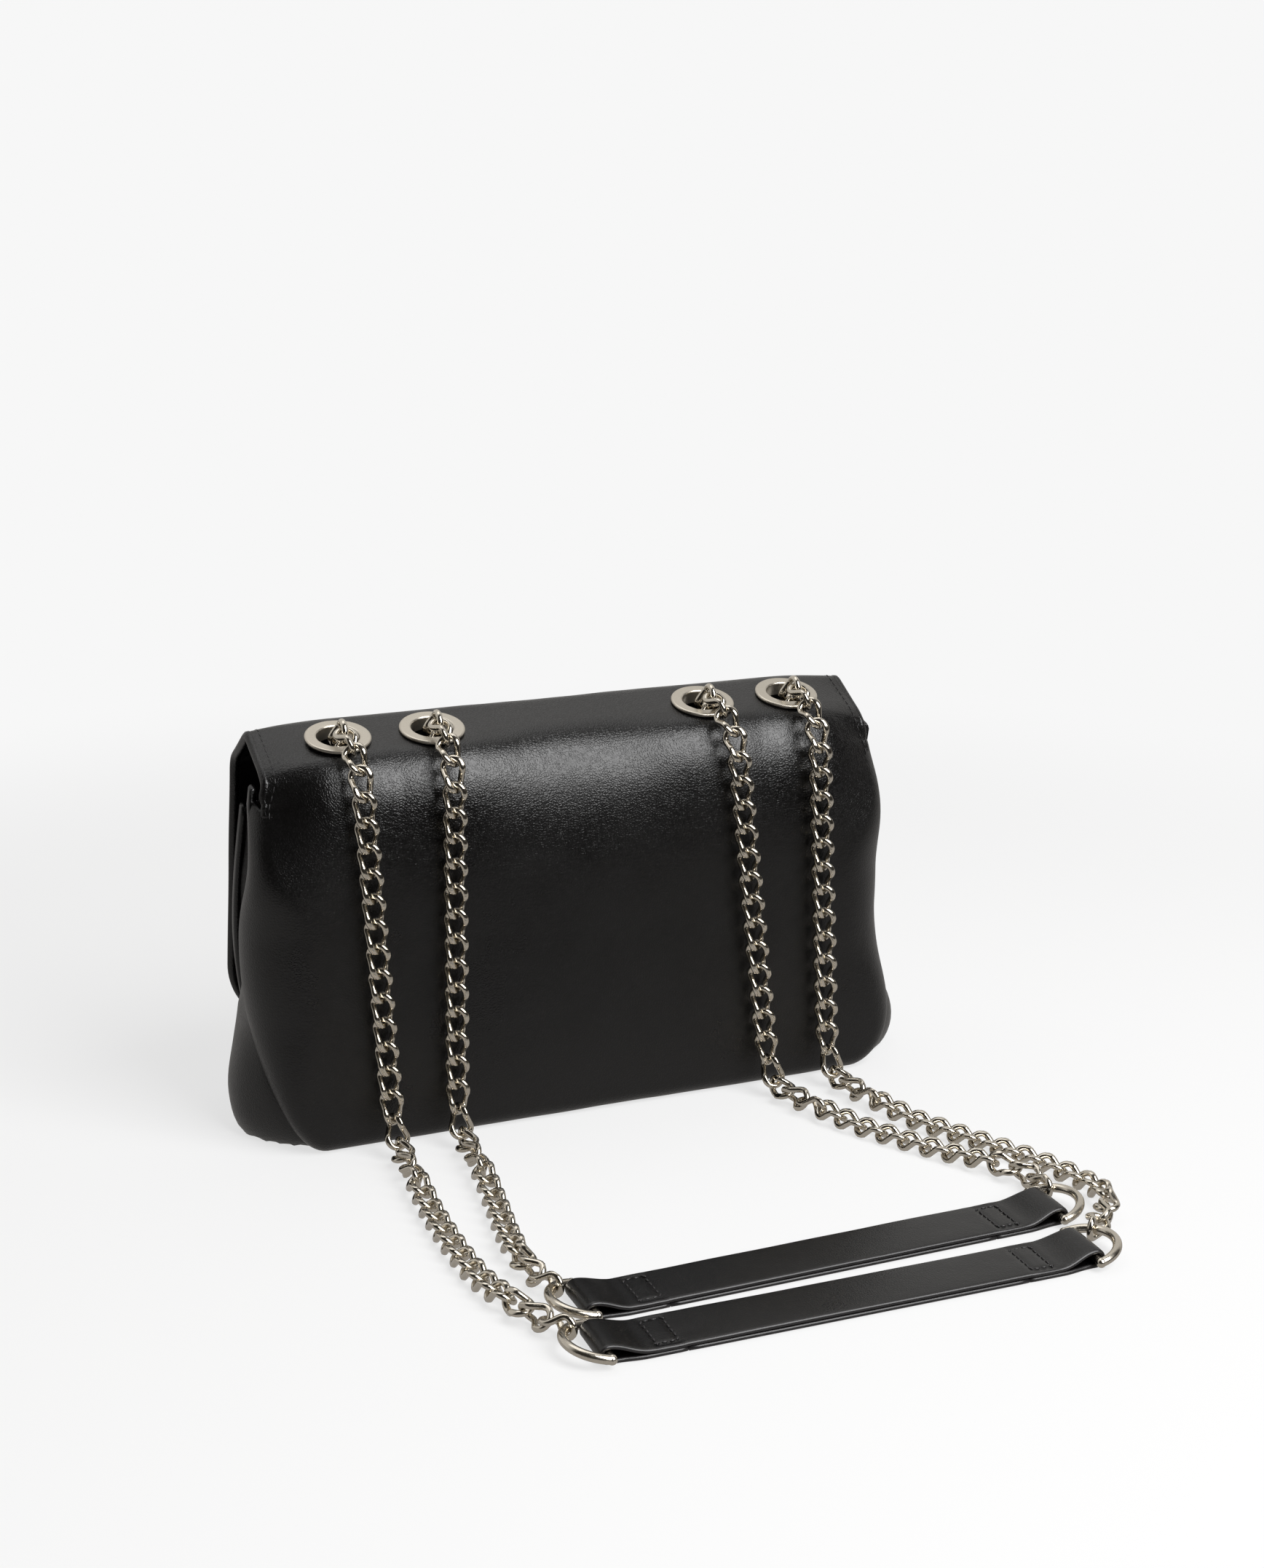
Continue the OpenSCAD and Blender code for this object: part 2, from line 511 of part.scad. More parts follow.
// Floor strands run from the foot of a hanging strand to a ring, round its bow.
ring_gap = 0.3;
hook_in = (wire_d + ring_d) / 2 + ring_gap;
floor_low = loop_r * sin(link_turn) + wire_d / 2 + seat;
raised = long_turn * link_pitch;
level = 2 * link_pitch;
function bezier(p, t) = len(p) == 1 ? p[0] : bezier([for (i = [0:len(p) - 2]) p[i] * (1 - t) + p[i + 1] * t], t);
floor_steps = 40;
function bow_pt(at, way, side, turn, r) = strap_pt(at, way, side > 0 ? strap_l + r * cos(turn) : -r * cos(turn), r * sin(turn));
module floor_strand(x, via, at, way, side, turn, reach) {
  end_at = bow_pt(at, way, side, turn, bow_r);
  out = unit(bow_pt(at, way, side, turn, 2 * bow_r) - end_at);
  last = end_at - (hook_in - grip) * out;
  start = [x, floor_hook[0]];
  first = start - grip * unit(via[0] - start);
  flat = [for (i = [0:floor_steps]) bezier(concat([first], via, [last + reach * link_pitch * out, last]), i / floor_steps)];
  c = run(flat);
  l = c[len(c) - 1];
  color(nickel) strand([for (i = [0:floor_steps]) [flat[i][0], flat[i][1], floor_low + (floor_hook_z - floor_low)
    * max(1 - ease((c[i] - raised) / level), 1 - ease((l - c[i] - raised) / level))]], [1, 0, 0], long_turn, long_turn);
}
foot_left_outer = 76;
foot_left_inner = 53;
foot_right_inner = -68;
foot_right_outer = -92;
via_left_outer = [[78, 85], [84, 130], [80, 165]];
via_left_inner = [[54, 85], [60, 120]];
via_right_inner = [[-72, 80], [-92, 106]];
via_right_outer = [[-94, 85], [-112, 120], [-160, 165]];
turn_left_outer = 50;
turn_left_inner = 55;
turn_right_inner = 55;
turn_right_outer = 42;
reach_left_outer = 1.5;
reach_left_inner = 2.2;
reach_right_inner = 1.5;
reach_right_outer = 2.4;

module eyelet_left_outer() { eyelet(eyelet_outer_x); }
module eyelet_left_inner() { eyelet(eyelet_inner_x); }
module eyelet_right_inner() { eyelet(-eyelet_inner_x); }
module eyelet_right_outer() { eyelet(-eyelet_outer_x); }
module washer_left_outer() { washer(eyelet_outer_x); }
module washer_left_inner() { washer(eyelet_inner_x); }
module washer_right_inner() { washer(-eyelet_inner_x); }
module washer_right_outer() { washer(-eyelet_outer_x); }
module chain_inside_left() { inside(eyelet_outer_x, eyelet_inner_x); }
module chain_inside_right() { inside(-eyelet_inner_x, -eyelet_outer_x); }
module chain_hang_left_outer() { hang(eyelet_outer_x, foot_left_outer); }
module chain_hang_left_inner() { hang(eyelet_inner_x, foot_left_inner); }
module chain_hang_right_inner() { hang(-eyelet_inner_x, foot_right_inner); }
module chain_hang_right_outer() { hang(-eyelet_outer_x, foot_right_outer); }
module chain_floor_left_outer() {
  floor_strand(foot_left_outer, via_left_outer, strap_front_at, strap_front_way, -1,
    turn_left_outer, reach_left_outer);
}
module chain_floor_left_inner() {
  floor_strand(foot_left_inner, via_left_inner, strap_rear_at, strap_rear_way, -1,
    turn_left_inner, reach_left_inner);
}
module chain_floor_right_inner() {
  floor_strand(foot_right_inner, via_right_inner, strap_rear_at, strap_rear_way, 1,
    turn_right_inner, reach_right_inner);
}
module chain_floor_right_outer() {
  floor_strand(foot_right_outer, via_right_outer, strap_front_at, strap_front_way, 1,
    turn_right_outer, reach_right_outer);
}
module ring_rear_left() { ring(strap_rear_at, strap_rear_way, 0, -1); }
module ring_rear_right() { ring(strap_rear_at, strap_rear_way, strap_l, 1); }
module ring_front_left() { ring(strap_front_at, strap_front_way, 0, -1); }
module ring_front_right() { ring(strap_front_at, strap_front_way, strap_l, 1); }
module strap_rear() { strap(strap_rear_at, strap_rear_way); }
module strap_front() { strap(strap_front_at, strap_front_way); }
module strap_rear_backing() { backing(strap_rear_at, strap_rear_way); }
module strap_front_backing() { backing(strap_front_at, strap_front_way); }

base_panel();
base_board();
rear_panel();
front_panel();
gusset_left();
gusset_right();
gusset_trim_left();
gusset_trim_right();
mouth_band();
lining_rear();
lining_front();
flap();
flap_facing();
snap_socket();
snap_stud();
eyelet_left_outer();
eyelet_left_inner();
eyelet_right_inner();
eyelet_right_outer();
washer_left_outer();
washer_left_inner();
washer_right_inner();
washer_right_outer();
chain_inside_left();
chain_inside_right();
chain_hang_left_outer();
chain_hang_left_inner();
chain_hang_right_inner();
chain_hang_right_outer();
chain_floor_left_outer();
chain_floor_left_inner();
chain_floor_right_inner();
chain_floor_right_outer();
ring_rear_left();
ring_rear_right();
ring_front_left();
ring_front_right();
strap_rear();
strap_front();
strap_rear_backing();
strap_front_backing();
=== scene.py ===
import math

import bpy
import numpy as np
from mathutils import Matrix, Vector, noise


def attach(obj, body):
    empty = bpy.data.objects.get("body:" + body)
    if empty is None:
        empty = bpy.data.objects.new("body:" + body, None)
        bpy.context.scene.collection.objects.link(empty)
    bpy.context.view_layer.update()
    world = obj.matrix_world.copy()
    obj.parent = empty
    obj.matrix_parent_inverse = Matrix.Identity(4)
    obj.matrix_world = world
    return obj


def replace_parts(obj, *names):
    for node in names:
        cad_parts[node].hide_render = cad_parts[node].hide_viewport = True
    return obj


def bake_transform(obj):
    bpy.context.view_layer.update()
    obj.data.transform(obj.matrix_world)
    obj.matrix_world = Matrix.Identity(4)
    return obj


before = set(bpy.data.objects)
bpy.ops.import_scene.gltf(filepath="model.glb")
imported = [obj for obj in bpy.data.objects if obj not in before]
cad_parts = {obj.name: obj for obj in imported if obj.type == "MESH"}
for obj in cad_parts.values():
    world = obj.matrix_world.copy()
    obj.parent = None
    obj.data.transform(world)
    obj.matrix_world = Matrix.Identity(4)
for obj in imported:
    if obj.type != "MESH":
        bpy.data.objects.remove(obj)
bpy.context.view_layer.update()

# Flap shoulder bag in black leather, seen from behind, with its chains and strap on the floor.
# Lengths in the dictionaries are in millimetres, and meshes are written in metres.
mm = 0.001


# Helpers for colours, nodes, meshes and Geometry Nodes

def toLinear(hexColour):
    parts = [int(hexColour[i:i + 2], 16) / 255 for i in (1, 3, 5)]
    return [c / 12.92 if c <= 0.04045 else ((c + 0.055) / 1.055) ** 2.4 for c in parts] + [1.0]


def addNode(tree, kind, links=None, **settings):
    node = tree.nodes.new(kind)
    for name, value in settings.items():
        setattr(node, name, value)
    for name, value in (links or {}).items():
        if isinstance(value, bpy.types.NodeSocket):
            tree.links.new(value, node.inputs[name])
        else:
            node.inputs[name].default_value = value
    return node


def newMaterial(name):
    material = bpy.data.materials.new(name)
    material.use_nodes = True
    tree = material.node_tree
    tree.nodes.clear()
    return material, tree, addNode(tree, "ShaderNodeTexCoord").outputs["Object"]


def finishMaterial(tree, shader):
    addNode(tree, "ShaderNodeOutputMaterial", {"Surface": shader.outputs[0]})


def addObject(name, mesh):
    obj = bpy.data.objects.new(name, mesh)
    bpy.context.scene.collection.objects.link(obj)
    return obj


def makeObject(name, points, faces, slots, materials):
    mesh = bpy.data.meshes.new(name)
    mesh.from_pydata((np.asarray(points) * mm).tolist(), [], faces)
    for material in materials:
        mesh.materials.append(material)
    mesh.polygons.foreach_set("material_index", slots)
    mesh.polygons.foreach_set("use_smooth", [True] * len(mesh.polygons))
    mesh.update()
    return addObject(name, mesh)


def newTree(name, inputs):
    tree = bpy.data.node_groups.new(name, "GeometryNodeTree")
    tree.interface.new_socket("Geometry", in_out="INPUT", socket_type="NodeSocketGeometry")
    for label, kind in inputs.items():
        tree.interface.new_socket(label, in_out="INPUT", socket_type=kind)
    tree.interface.new_socket("Geometry", in_out="OUTPUT", socket_type="NodeSocketGeometry")
    return tree, addNode(tree, "NodeGroupInput").outputs


def finishTree(tree, geometry, material):
    real = addNode(tree, "GeometryNodeRealizeInstances", {"Geometry": geometry})
    smooth = addNode(tree, "GeometryNodeSetShadeSmooth", {"Geometry": real.outputs[0]})
    coat = addNode(tree, "GeometryNodeSetMaterial", {"Geometry": smooth.outputs[0], "Material": material})
    addNode(tree, "NodeGroupOutput", {"Geometry": coat.outputs[0]})
    return tree


def growObject(name, source, tree, values):
    modifier = source.modifiers.new("grow", "NODES")
    modifier.node_group = tree
    for item in tree.interface.items_tree:
        if item.in_out == "INPUT" and item.name in values:
            modifier[item.identifier] = values[item.name]
    source.update_tag()
    bpy.context.view_layer.update()
    grown = source.evaluated_get(bpy.context.evaluated_depsgraph_get())
    mesh = bpy.data.meshes.new_from_object(grown)
    mesh.name = name
    bpy.data.objects.remove(source)
    return addObject(name, mesh)


# Camera at the photograph's place

cameraView = {"place": (0.2774, 0.7661, 0.3494), "forward": (-0.3582, -0.8919, -0.2763), "lens": 53.45}

cameraData = bpy.data.cameras.new("camera")
cameraData.lens = cameraView["lens"]
cameraData.sensor_width = 36
camera = addObject("camera", cameraData)
camera.location = cameraView["place"]
camera.rotation_euler = Vector(cameraView["forward"]).to_track_quat("-Z", "Y").to_euler()
bpy.context.scene.camera = camera
print("camera placed")


# Light: one tall softbox above the camera, a weak one above the front, and a world that is pale on one
# side of the bag and dark on the camera's side

studio = {
    "softboxPlace": (-0.44, 0.96, 0.98), "softboxSize": (0.8, 1.2), "softboxPower": 26.0,
    "topPlace": (0.1, -0.35, 1.5), "topSize": (1.4, 0.9), "topPower": 4.0, "aim": (0.0, 0.05, 0.08),
    "background": "#f7f7f7", "pale": "#d2d0cd", "dark": "#2b2926", "paleTo": -0.35, "darkFrom": 0.15,
    "ambient": 0.45,
}


def addSoftbox(name):
    place = studio[name + "Place"]
    lamp = bpy.data.lights.new(name, "AREA")
    lamp.shape = "RECTANGLE"
    lamp.size, lamp.size_y = studio[name + "Size"]
    lamp.energy = studio[name + "Power"]
    obj = addObject(name, lamp)
    obj.location = place
    obj.rotation_euler = (Vector(studio["aim"]) - Vector(place)).to_track_quat("-Z", "Y").to_euler()


addSoftbox("softbox")
addSoftbox("top")

world = bpy.data.worlds.new("studio")
world.use_nodes = True
bpy.context.scene.world = world
tree = world.node_tree
tree.nodes.clear()
way = addNode(tree, "ShaderNodeTexCoord")
depth = addNode(tree, "ShaderNodeSeparateXYZ", {"Vector": way.outputs["Generated"]})
share = addNode(tree, "ShaderNodeMapRange", {
    "Value": depth.outputs["Y"], "From Min": studio["paleTo"], "From Max": studio["darkFrom"]},
    interpolation_type="SMOOTHSTEP")
around = addNode(tree, "ShaderNodeMix", {
    0: share.outputs["Result"], 6: toLinear(studio["pale"]), 7: toLinear(studio["dark"])}, data_type="RGBA")
rays = addNode(tree, "ShaderNodeLightPath").outputs
seen = addNode(tree, "ShaderNodeMix", {
    0: rays["Is Camera Ray"], 6: around.outputs[2], 7: toLinear(studio["background"])}, data_type="RGBA")
direct = addNode(tree, "ShaderNodeMath", {0: rays["Is Camera Ray"], 1: rays["Is Glossy Ray"]},
                 operation="MAXIMUM")
power = addNode(tree, "ShaderNodeMapRange", {"Value": direct.outputs[0], "To Min": studio["ambient"]})
sky = addNode(tree, "ShaderNodeBackground", {"Color": seen.outputs[2], "Strength": power.outputs["Result"]})
addNode(tree, "ShaderNodeOutputWorld", {"Surface": sky.outputs[0]})
bpy.context.scene.view_settings.view_transform = "Standard"

floorSizes = {"radius": 6000, "lit": 320, "faded": 640, "glow": 0.74, "mirrored": 0.75, "paperEnd": 240,
              "darkFrom": 340, "colour": "#f4f4f4", "reflected": "#a8a5a2"}


def paperMaterial():
    # Matt background paper. It glows a little, more so far from the bag, so that it meets the background
    # without an edge. For reflections it is greyer, and it ends before the camera.
    material, tree, way = newMaterial("paperFloor")
    rays = addNode(tree, "ShaderNodeLightPath").outputs
    reach = addNode(tree, "ShaderNodeVectorMath", {0: way}, operation="LENGTH")
    fade = addNode(tree, "ShaderNodeMapRange", {
        "Value": reach.outputs["Value"], "From Min": floorSizes["lit"] * mm,
        "From Max": floorSizes["faded"] * mm, "To Min": floorSizes["glow"]}, interpolation_type="SMOOTHSTEP")
    direct = addNode(tree, "ShaderNodeMath", {0: rays["Is Camera Ray"], 1: rays["Is Glossy Ray"]},
                     operation="MAXIMUM")
    glowShare = addNode(tree, "ShaderNodeMath", {0: fade.outputs["Result"], 1: direct.outputs[0]},
                        operation="MULTIPLY")
    depth = addNode(tree, "ShaderNodeSeparateXYZ", {"Vector": way})
    end = addNode(tree, "ShaderNodeMapRange", {
        "Value": depth.outputs["Y"], "From Min": floorSizes["paperEnd"] * mm,
        "From Max": floorSizes["darkFrom"] * mm}, interpolation_type="SMOOTHSTEP")
    endShare = addNode(tree, "ShaderNodeMath", {0: end.outputs["Result"], 1: rays["Is Glossy Ray"]},
                       operation="MULTIPLY")
    paper = addNode(tree, "ShaderNodeBsdfDiffuse", {"Color": toLinear(floorSizes["colour"])})
    glowColour = addNode(tree, "ShaderNodeMix", {
        0: rays["Is Glossy Ray"], 6: toLinear(studio["background"]), 7: toLinear(floorSizes["reflected"])},
        data_type="RGBA")
    glow = addNode(tree, "ShaderNodeEmission", {"Color": glowColour.outputs[2], "Strength": 1.0})
    night = addNode(tree, "ShaderNodeEmission", {"Color": toLinear(studio["dark"]), "Strength": 1.0})
    sheet = addNode(tree, "ShaderNodeMixShader", {
        0: glowShare.outputs[0], 1: paper.outputs[0], 2: glow.outputs[0]})
    mirrored = addNode(tree, "ShaderNodeMixShader", {
        0: floorSizes["mirrored"], 1: sheet.outputs[0], 2: glow.outputs[0]})
    near = addNode(tree, "ShaderNodeMixShader", {
        0: rays["Is Glossy Ray"], 1: sheet.outputs[0], 2: mirrored.outputs[0]})
    finishMaterial(tree, addNode(tree, "ShaderNodeMixShader", {
        0: endShare.outputs[0], 1: near.outputs[0], 2: night.outputs[0]}))
    return material


half = floorSizes["radius"]
floor = makeObject("floor", [(-half, -half, 0), (half, -half, 0), (half, half, 0), (-half, half, 0)],
                   [(0, 1, 2, 3)], [0], [paperMaterial()])
print("studio lit")


# Materials

def leatherMaterial(name, finish):
    # Drum-dyed leather with a printed pebble and a thin satin top coat: dark, with soft highlights that
    # break up in the grain. The pebble is drawn at its real size, and its grooves are darkened as painted
    # shade.
    material, tree, place = newMaterial(name)
    drift = addNode(tree, "ShaderNodeTexNoise", {
        "Vector": place, "Scale": 1 / (finish["drift"] * mm), "Detail": 2.0})
    shift = addNode(tree, "ShaderNodeVectorMath", {0: drift.outputs["Color"], 1: (0.5, 0.5, 0.5)},
                    operation="SUBTRACT")
    warp = addNode(tree, "ShaderNodeVectorMath", {0: shift.outputs[0], 1: (finish["warp"] * mm,) * 3},
                   operation="MULTIPLY")
    warped = addNode(tree, "ShaderNodeVectorMath", {0: place, 1: warp.outputs[0]}, operation="ADD")
    cells = addNode(tree, "ShaderNodeTexVoronoi", {
        "Vector": warped.outputs[0], "Scale": 1 / (finish["pebble"] * mm)}, feature="DISTANCE_TO_EDGE")
    pebble = addNode(tree, "ShaderNodeMapRange", {
        "Value": cells.outputs["Distance"], "From Max": finish["pebbleEdge"]},
        interpolation_type="SMOOTHSTEP")
    pores = addNode(tree, "ShaderNodeTexNoise", {
        "Vector": place, "Scale": 1 / (finish["pore"] * mm), "Detail": 3.0})
    crease = addNode(tree, "ShaderNodeTexNoise", {
        "Vector": warped.outputs[0], "Scale": 1 / (finish["crease"] * mm), "Detail": 4.0, "Roughness": 0.6})
    coarse = addNode(tree, "ShaderNodeBump", {
        "Height": crease.outputs[0], "Strength": 1.0, "Distance": finish["creaseDepth"] * mm})
    middle = addNode(tree, "ShaderNodeBump", {
        "Height": pebble.outputs["Result"], "Strength": 1.0, "Distance": finish["pebbleDepth"] * mm,
        "Normal": coarse.outputs[0]})
    fine = addNode(tree, "ShaderNodeBump", {
        "Height": pores.outputs[0], "Strength": 1.0, "Distance": finish["poreDepth"] * mm,
        "Normal": middle.outputs[0]})
    cloud = addNode(tree, "ShaderNodeTexNoise", {
        "Vector": place, "Scale": 1 / (finish["cloud"] * mm), "Detail": 3.0})
    tone = addNode(tree, "ShaderNodeMix", {
        0: cloud.outputs[0], 6: toLinear(finish["colour"]), 7: toLinear(finish["lighter"])}, data_type="RGBA")
    # Painted shade: valley darkens the colour in the pebble's grooves, where shade would fall.
    valley = addNode(tree, "ShaderNodeMapRange", {
        "Value": pebble.outputs["Result"], "To Min": finish["valley"]})
    colour = addNode(tree, "ShaderNodeMix", {0: 1.0, 6: tone.outputs[2], 7: valley.outputs["Result"]},
                     data_type="RGBA", blend_type="MULTIPLY")
    gloss = addNode(tree, "ShaderNodeMapRange", {
        "Value": cloud.outputs[0], "From Min": 0.3, "From Max": 0.7,
        "To Min": finish["roughness"] - finish["polish"], "To Max": finish["roughness"] + finish["wear"]})
    finishMaterial(tree, addNode(tree, "ShaderNodeBsdfPrincipled", {
        "Base Color": colour.outputs[2], "Roughness": gloss.outputs["Result"], "IOR": 1.5,
        "Specular IOR Level": finish["specular"], "Normal": fine.outputs[0]}))
    return material


# valley is painted shade: the share of the colour left in the pebble's grooves.
bodyFinish = {
    "colour": "#070606", "lighter": "#0b0a0a", "roughness": 0.3, "polish": 0.04, "wear": 0.05,
    "specular": 0.5, "pebble": 0.95, "pebbleEdge": 0.3, "pebbleDepth": 0.045, "valley": 0.55, "pore": 0.35,
    "poreDepth": 0.005, "crease": 6.0, "creaseDepth": 0.08, "drift": 3.0, "warp": 1.2, "cloud": 26.0,
}
bodyLeather = leatherMaterial("blackPebbleLeather", bodyFinish)
strapLeather = leatherMaterial("blackStrapLeather", {**bodyFinish, "pebble": 0.9, "pebbleDepth": 0.02})
facingFinish = {**bodyFinish, "pebbleDepth": 0.006, "roughness": 0.44}
facingLeather = leatherMaterial("smoothFacingLeather", facingFinish)


def edgePaintMaterial():
    # Black edge paint, laid on in several coats and burnished: smoother and glossier than the grain.
    material, tree, place = newMaterial("edgePaint")
    wave = addNode(tree, "ShaderNodeTexNoise", {"Vector": place, "Scale": 1 / (2.5 * mm), "Detail": 3.0})
    bump = addNode(tree, "ShaderNodeBump", {
        "Height": wave.outputs[0], "Strength": 1.0, "Distance": 0.05 * mm})
    colour = addNode(tree, "ShaderNodeMix", {
        0: wave.outputs[0], 6: toLinear("#141314"), 7: toLinear("#1e1c1d")}, data_type="RGBA")
    finishMaterial(tree, addNode(tree, "ShaderNodeBsdfPrincipled", {
        "Base Color": colour.outputs[2], "Roughness": 0.34, "IOR": 1.5, "Normal": bump.outputs[0]}))
    return material


def liningMaterial():
    # Plain woven viscose, two threads to the millimetre: soft, slightly shiny cloth.
    material, tree, place = newMaterial("viscoseLining")
    apart = addNode(tree, "ShaderNodeSeparateXYZ", {"Vector": place}).outputs
    waves = []
    for axis in ("X", "Z"):  # warp and weft
        turns = addNode(tree, "ShaderNodeMath", {0: apart[axis], 1: math.tau / (0.5 * mm)},
                        operation="MULTIPLY")
        waves.append(addNode(tree, "ShaderNodeMath", {0: turns.outputs[0]}, operation="SINE").outputs[0])
    weave = addNode(tree, "ShaderNodeMath", {0: waves[0], 1: waves[1]}, operation="MULTIPLY")
    bump = addNode(tree, "ShaderNodeBump", {
        "Height": weave.outputs[0], "Strength": 0.6, "Distance": 0.04 * mm})
    slub = addNode(tree, "ShaderNodeTexNoise", {"Vector": place, "Scale": 1 / (6 * mm), "Detail": 4.0})
    colour = addNode(tree, "ShaderNodeMix", {
        0: slub.outputs[0], 6: toLinear("#262527"), 7: toLinear("#3a393b")}, data_type="RGBA")
    finishMaterial(tree, addNode(tree, "ShaderNodeBsdfPrincipled", {
        "Base Color": colour.outputs[2], "Roughness": 0.6, "Sheen Weight": 0.3, "IOR": 1.45,
        "Normal": bump.outputs[0]}))
    return material


def threadMaterial():
    # Bonded nylon thread, waxed and dyed black: a twisted surface with a dull shine.
    material, tree, place = newMaterial("waxedThread")
    twist = addNode(tree, "ShaderNodeTexNoise", {"Vector": place, "Scale": 1 / (0.5 * mm), "Detail": 2.0})
    bump = addNode(tree, "ShaderNodeBump", {
        "Height": twist.outputs[0], "Strength": 1.0, "Distance": 0.08 * mm})
    colour = addNode(tree, "ShaderNodeMix", {
        0: twist.outputs[0], 6: toLinear("#171617"), 7: toLinear("#2c2a2b")}, data_type="RGBA")
    finishMaterial(tree, addNode(tree, "ShaderNodeBsdfPrincipled", {
        "Base Color": colour.outputs[2], "Roughness": 0.45, "IOR": 1.5, "Normal": bump.outputs[0]}))
    return material


def nickelMaterial(name, roughness, wear, unevenness):
    # Nickel plate over zinc or steel: pale and slightly warm. Roughness says how it was polished.
    material, tree, place = newMaterial(name)
    cast = addNode(tree, "ShaderNodeTexNoise", {"Vector": place, "Scale": 1 / (3 * mm), "Detail": 2.0})
    rub = addNode(tree, "ShaderNodeTexNoise", {"Vector": place, "Scale": 1 / (0.6 * mm), "Detail": 5.0})
    bump = addNode(tree, "ShaderNodeBump", {
        "Height": cast.outputs[0], "Strength": 1.0, "Distance": unevenness * mm})
    gloss = addNode(tree, "ShaderNodeMapRange", {
        "Value": rub.outputs[0], "From Min": 0.35, "From Max": 0.7, "To Min": roughness,
        "To Max": roughness + wear})
    colour = addNode(tree, "ShaderNodeMix", {
        0: rub.outputs[0], 6: toLinear("#d8d1c5"), 7: toLinear("#c9c2b4")}, data_type="RGBA")
    finishMaterial(tree, addNode(tree, "ShaderNodeBsdfPrincipled", {
        "Base Color": colour.outputs[2], "Metallic": 1.0, "Roughness": gloss.outputs["Result"],
        "Normal": bump.outputs[0]}))
    return material


edgePaint = edgePaintMaterial()
lining = liningMaterial()
thread = threadMaterial()
chainNickel = nickelMaterial("polishedNickel", 0.13, 0.06, 0.05)
ringNickel = nickelMaterial("castNickel", 0.18, 0.08, 0.06)
eyeletNickel = nickelMaterial("satinNickel", 0.3, 0.1, 0.02)
print("materials made")


# The bag's side profile is a walk of [y, z, heading in degrees], as in the part's source.

bag = {
    "baseDepth": 75, "baseLength": 194, "bellyLength": 243, "bellyHeight": 70, "shoulderLength": 233,
    "topLength": 225, "flapLength": 231, "rearHeight": 130, "mouthHeight": 116, "shoulderRadius": 12,
    "topTilt": 14, "topRun": 25.69, "ridgeRadius": 8, "slopeTilt": 29, "slopeRun": 19, "browRadius": 14,
    "frontTilt": 8, "frontShare": 0.955, "hemHeight": 22, "hemRadius": 30, "skin": 2.6,
}


def ease(t):
    t = np.clip(t, 0, 1)
    return t * t * (3 - 2 * t)


def lineOn(p, length):
    a = math.radians(p[2])
    return (p[0] + length * math.cos(a), p[1] + length * math.sin(a), p[2])


def arcOn(p, radius, turn):
    a, b = math.radians(p[2]), math.radians(p[2] + turn)
    return (p[0] + radius * (math.sin(b) - math.sin(a)), p[1] - radius * (math.cos(b) - math.cos(a)),
            p[2] + turn)


def walkSegments():
    # Each segment is (start, length, radius or None, turn).
    stand = (bag["baseDepth"] / 2, bag["rearHeight"], 90)
    browTurn = 90 - bag["slopeTilt"] - bag["frontTilt"]
    segments = []
    for radius, size in ((bag["shoulderRadius"], 90 - bag["topTilt"]), (None, bag["topRun"]),
                         (bag["ridgeRadius"], bag["topTilt"] + bag["slopeTilt"]), (None, bag["slopeRun"]),
                         (bag["browRadius"], browTurn)):
        length = size if radius is None else radius * math.radians(size)
        segments.append((stand, length, radius, size))
        stand = lineOn(stand, size) if radius is None else arcOn(stand, radius, size)
    frontRun = (stand[1] - bag["hemHeight"]) / math.cos(math.radians(bag["frontTilt"]))
    segments.append((stand, frontRun, None, frontRun))
    return segments


segments = walkSegments()
segmentEnds = np.cumsum([0] + [s[1] for s in segments])
topFrom, foldRun, frontFrom, hemRun = segmentEnds[[1, 2, 5, -1]]
cornerRun = hemRun - bag["hemRadius"]
foldStand = segments[2][0]


def walkAt(run):
    i = int(np.clip(np.searchsorted(segmentEnds, run, side="right") - 1, 0, len(segments) - 1))
    stand, length, radius, size = segments[i]
    share = (run - segmentEnds[i]) / length
    return lineOn(stand, size * share) if radius is None else arcOn(stand, radius, size * share)


def halfAt(run):
    if run <= foldRun:
        share = min(1, run / topFrom)
        return (bag["shoulderLength"] + (bag["topLength"] - bag["shoulderLength"]) * share) / 2
    share = min(1, (run - foldRun) / (cornerRun - foldRun))
    straight = (bag["topLength"] + (bag["flapLength"] - bag["topLength"]) * share) / 2
    if run <= cornerRun:
        return straight
    rise = min(1, (run - cornerRun) / bag["hemRadius"])
    return straight - bag["hemRadius"] * (1 - math.sqrt(1 - rise * rise))


# The end outline: half length against height, as two curves that meet at the belly

outlineShares = {"base": 0.61, "belly": 0.6, "above": 0.35, "narrow": 0.35, "high": 0.7}


def cubic(a, b, c, d, count):
    t = np.linspace(0, 1, count)[:, None]
    a, b, c, d = (np.array(p) for p in (a, b, c, d))
    return (1 - t) ** 3 * a + 3 * t * (1 - t) ** 2 * b + 3 * t * t * (1 - t) * c + t ** 3 * d


def endOutline():
    base, belly, shoulder = bag["baseLength"] / 2, bag["bellyLength"] / 2, bag["shoulderLength"] / 2
    low, high = bag["bellyHeight"], bag["rearHeight"]
    shares = outlineShares
    lower = cubic([base, 0], [base + shares["base"] * (belly - base), 0], [belly, shares["belly"] * low],
                  [belly, low], 120)
    upper = cubic([belly, low], [belly, low + shares["above"] * (high - low)],
                  [shoulder + shares["narrow"] * (belly - shoulder), low + shares["high"] * (high - low)],
                  [shoulder, high], 100)
    return np.vstack([lower, upper[1:]])


outline = endOutline()


def outlineX(z):
    return np.interp(z, outline[:, 1], outline[:, 0])


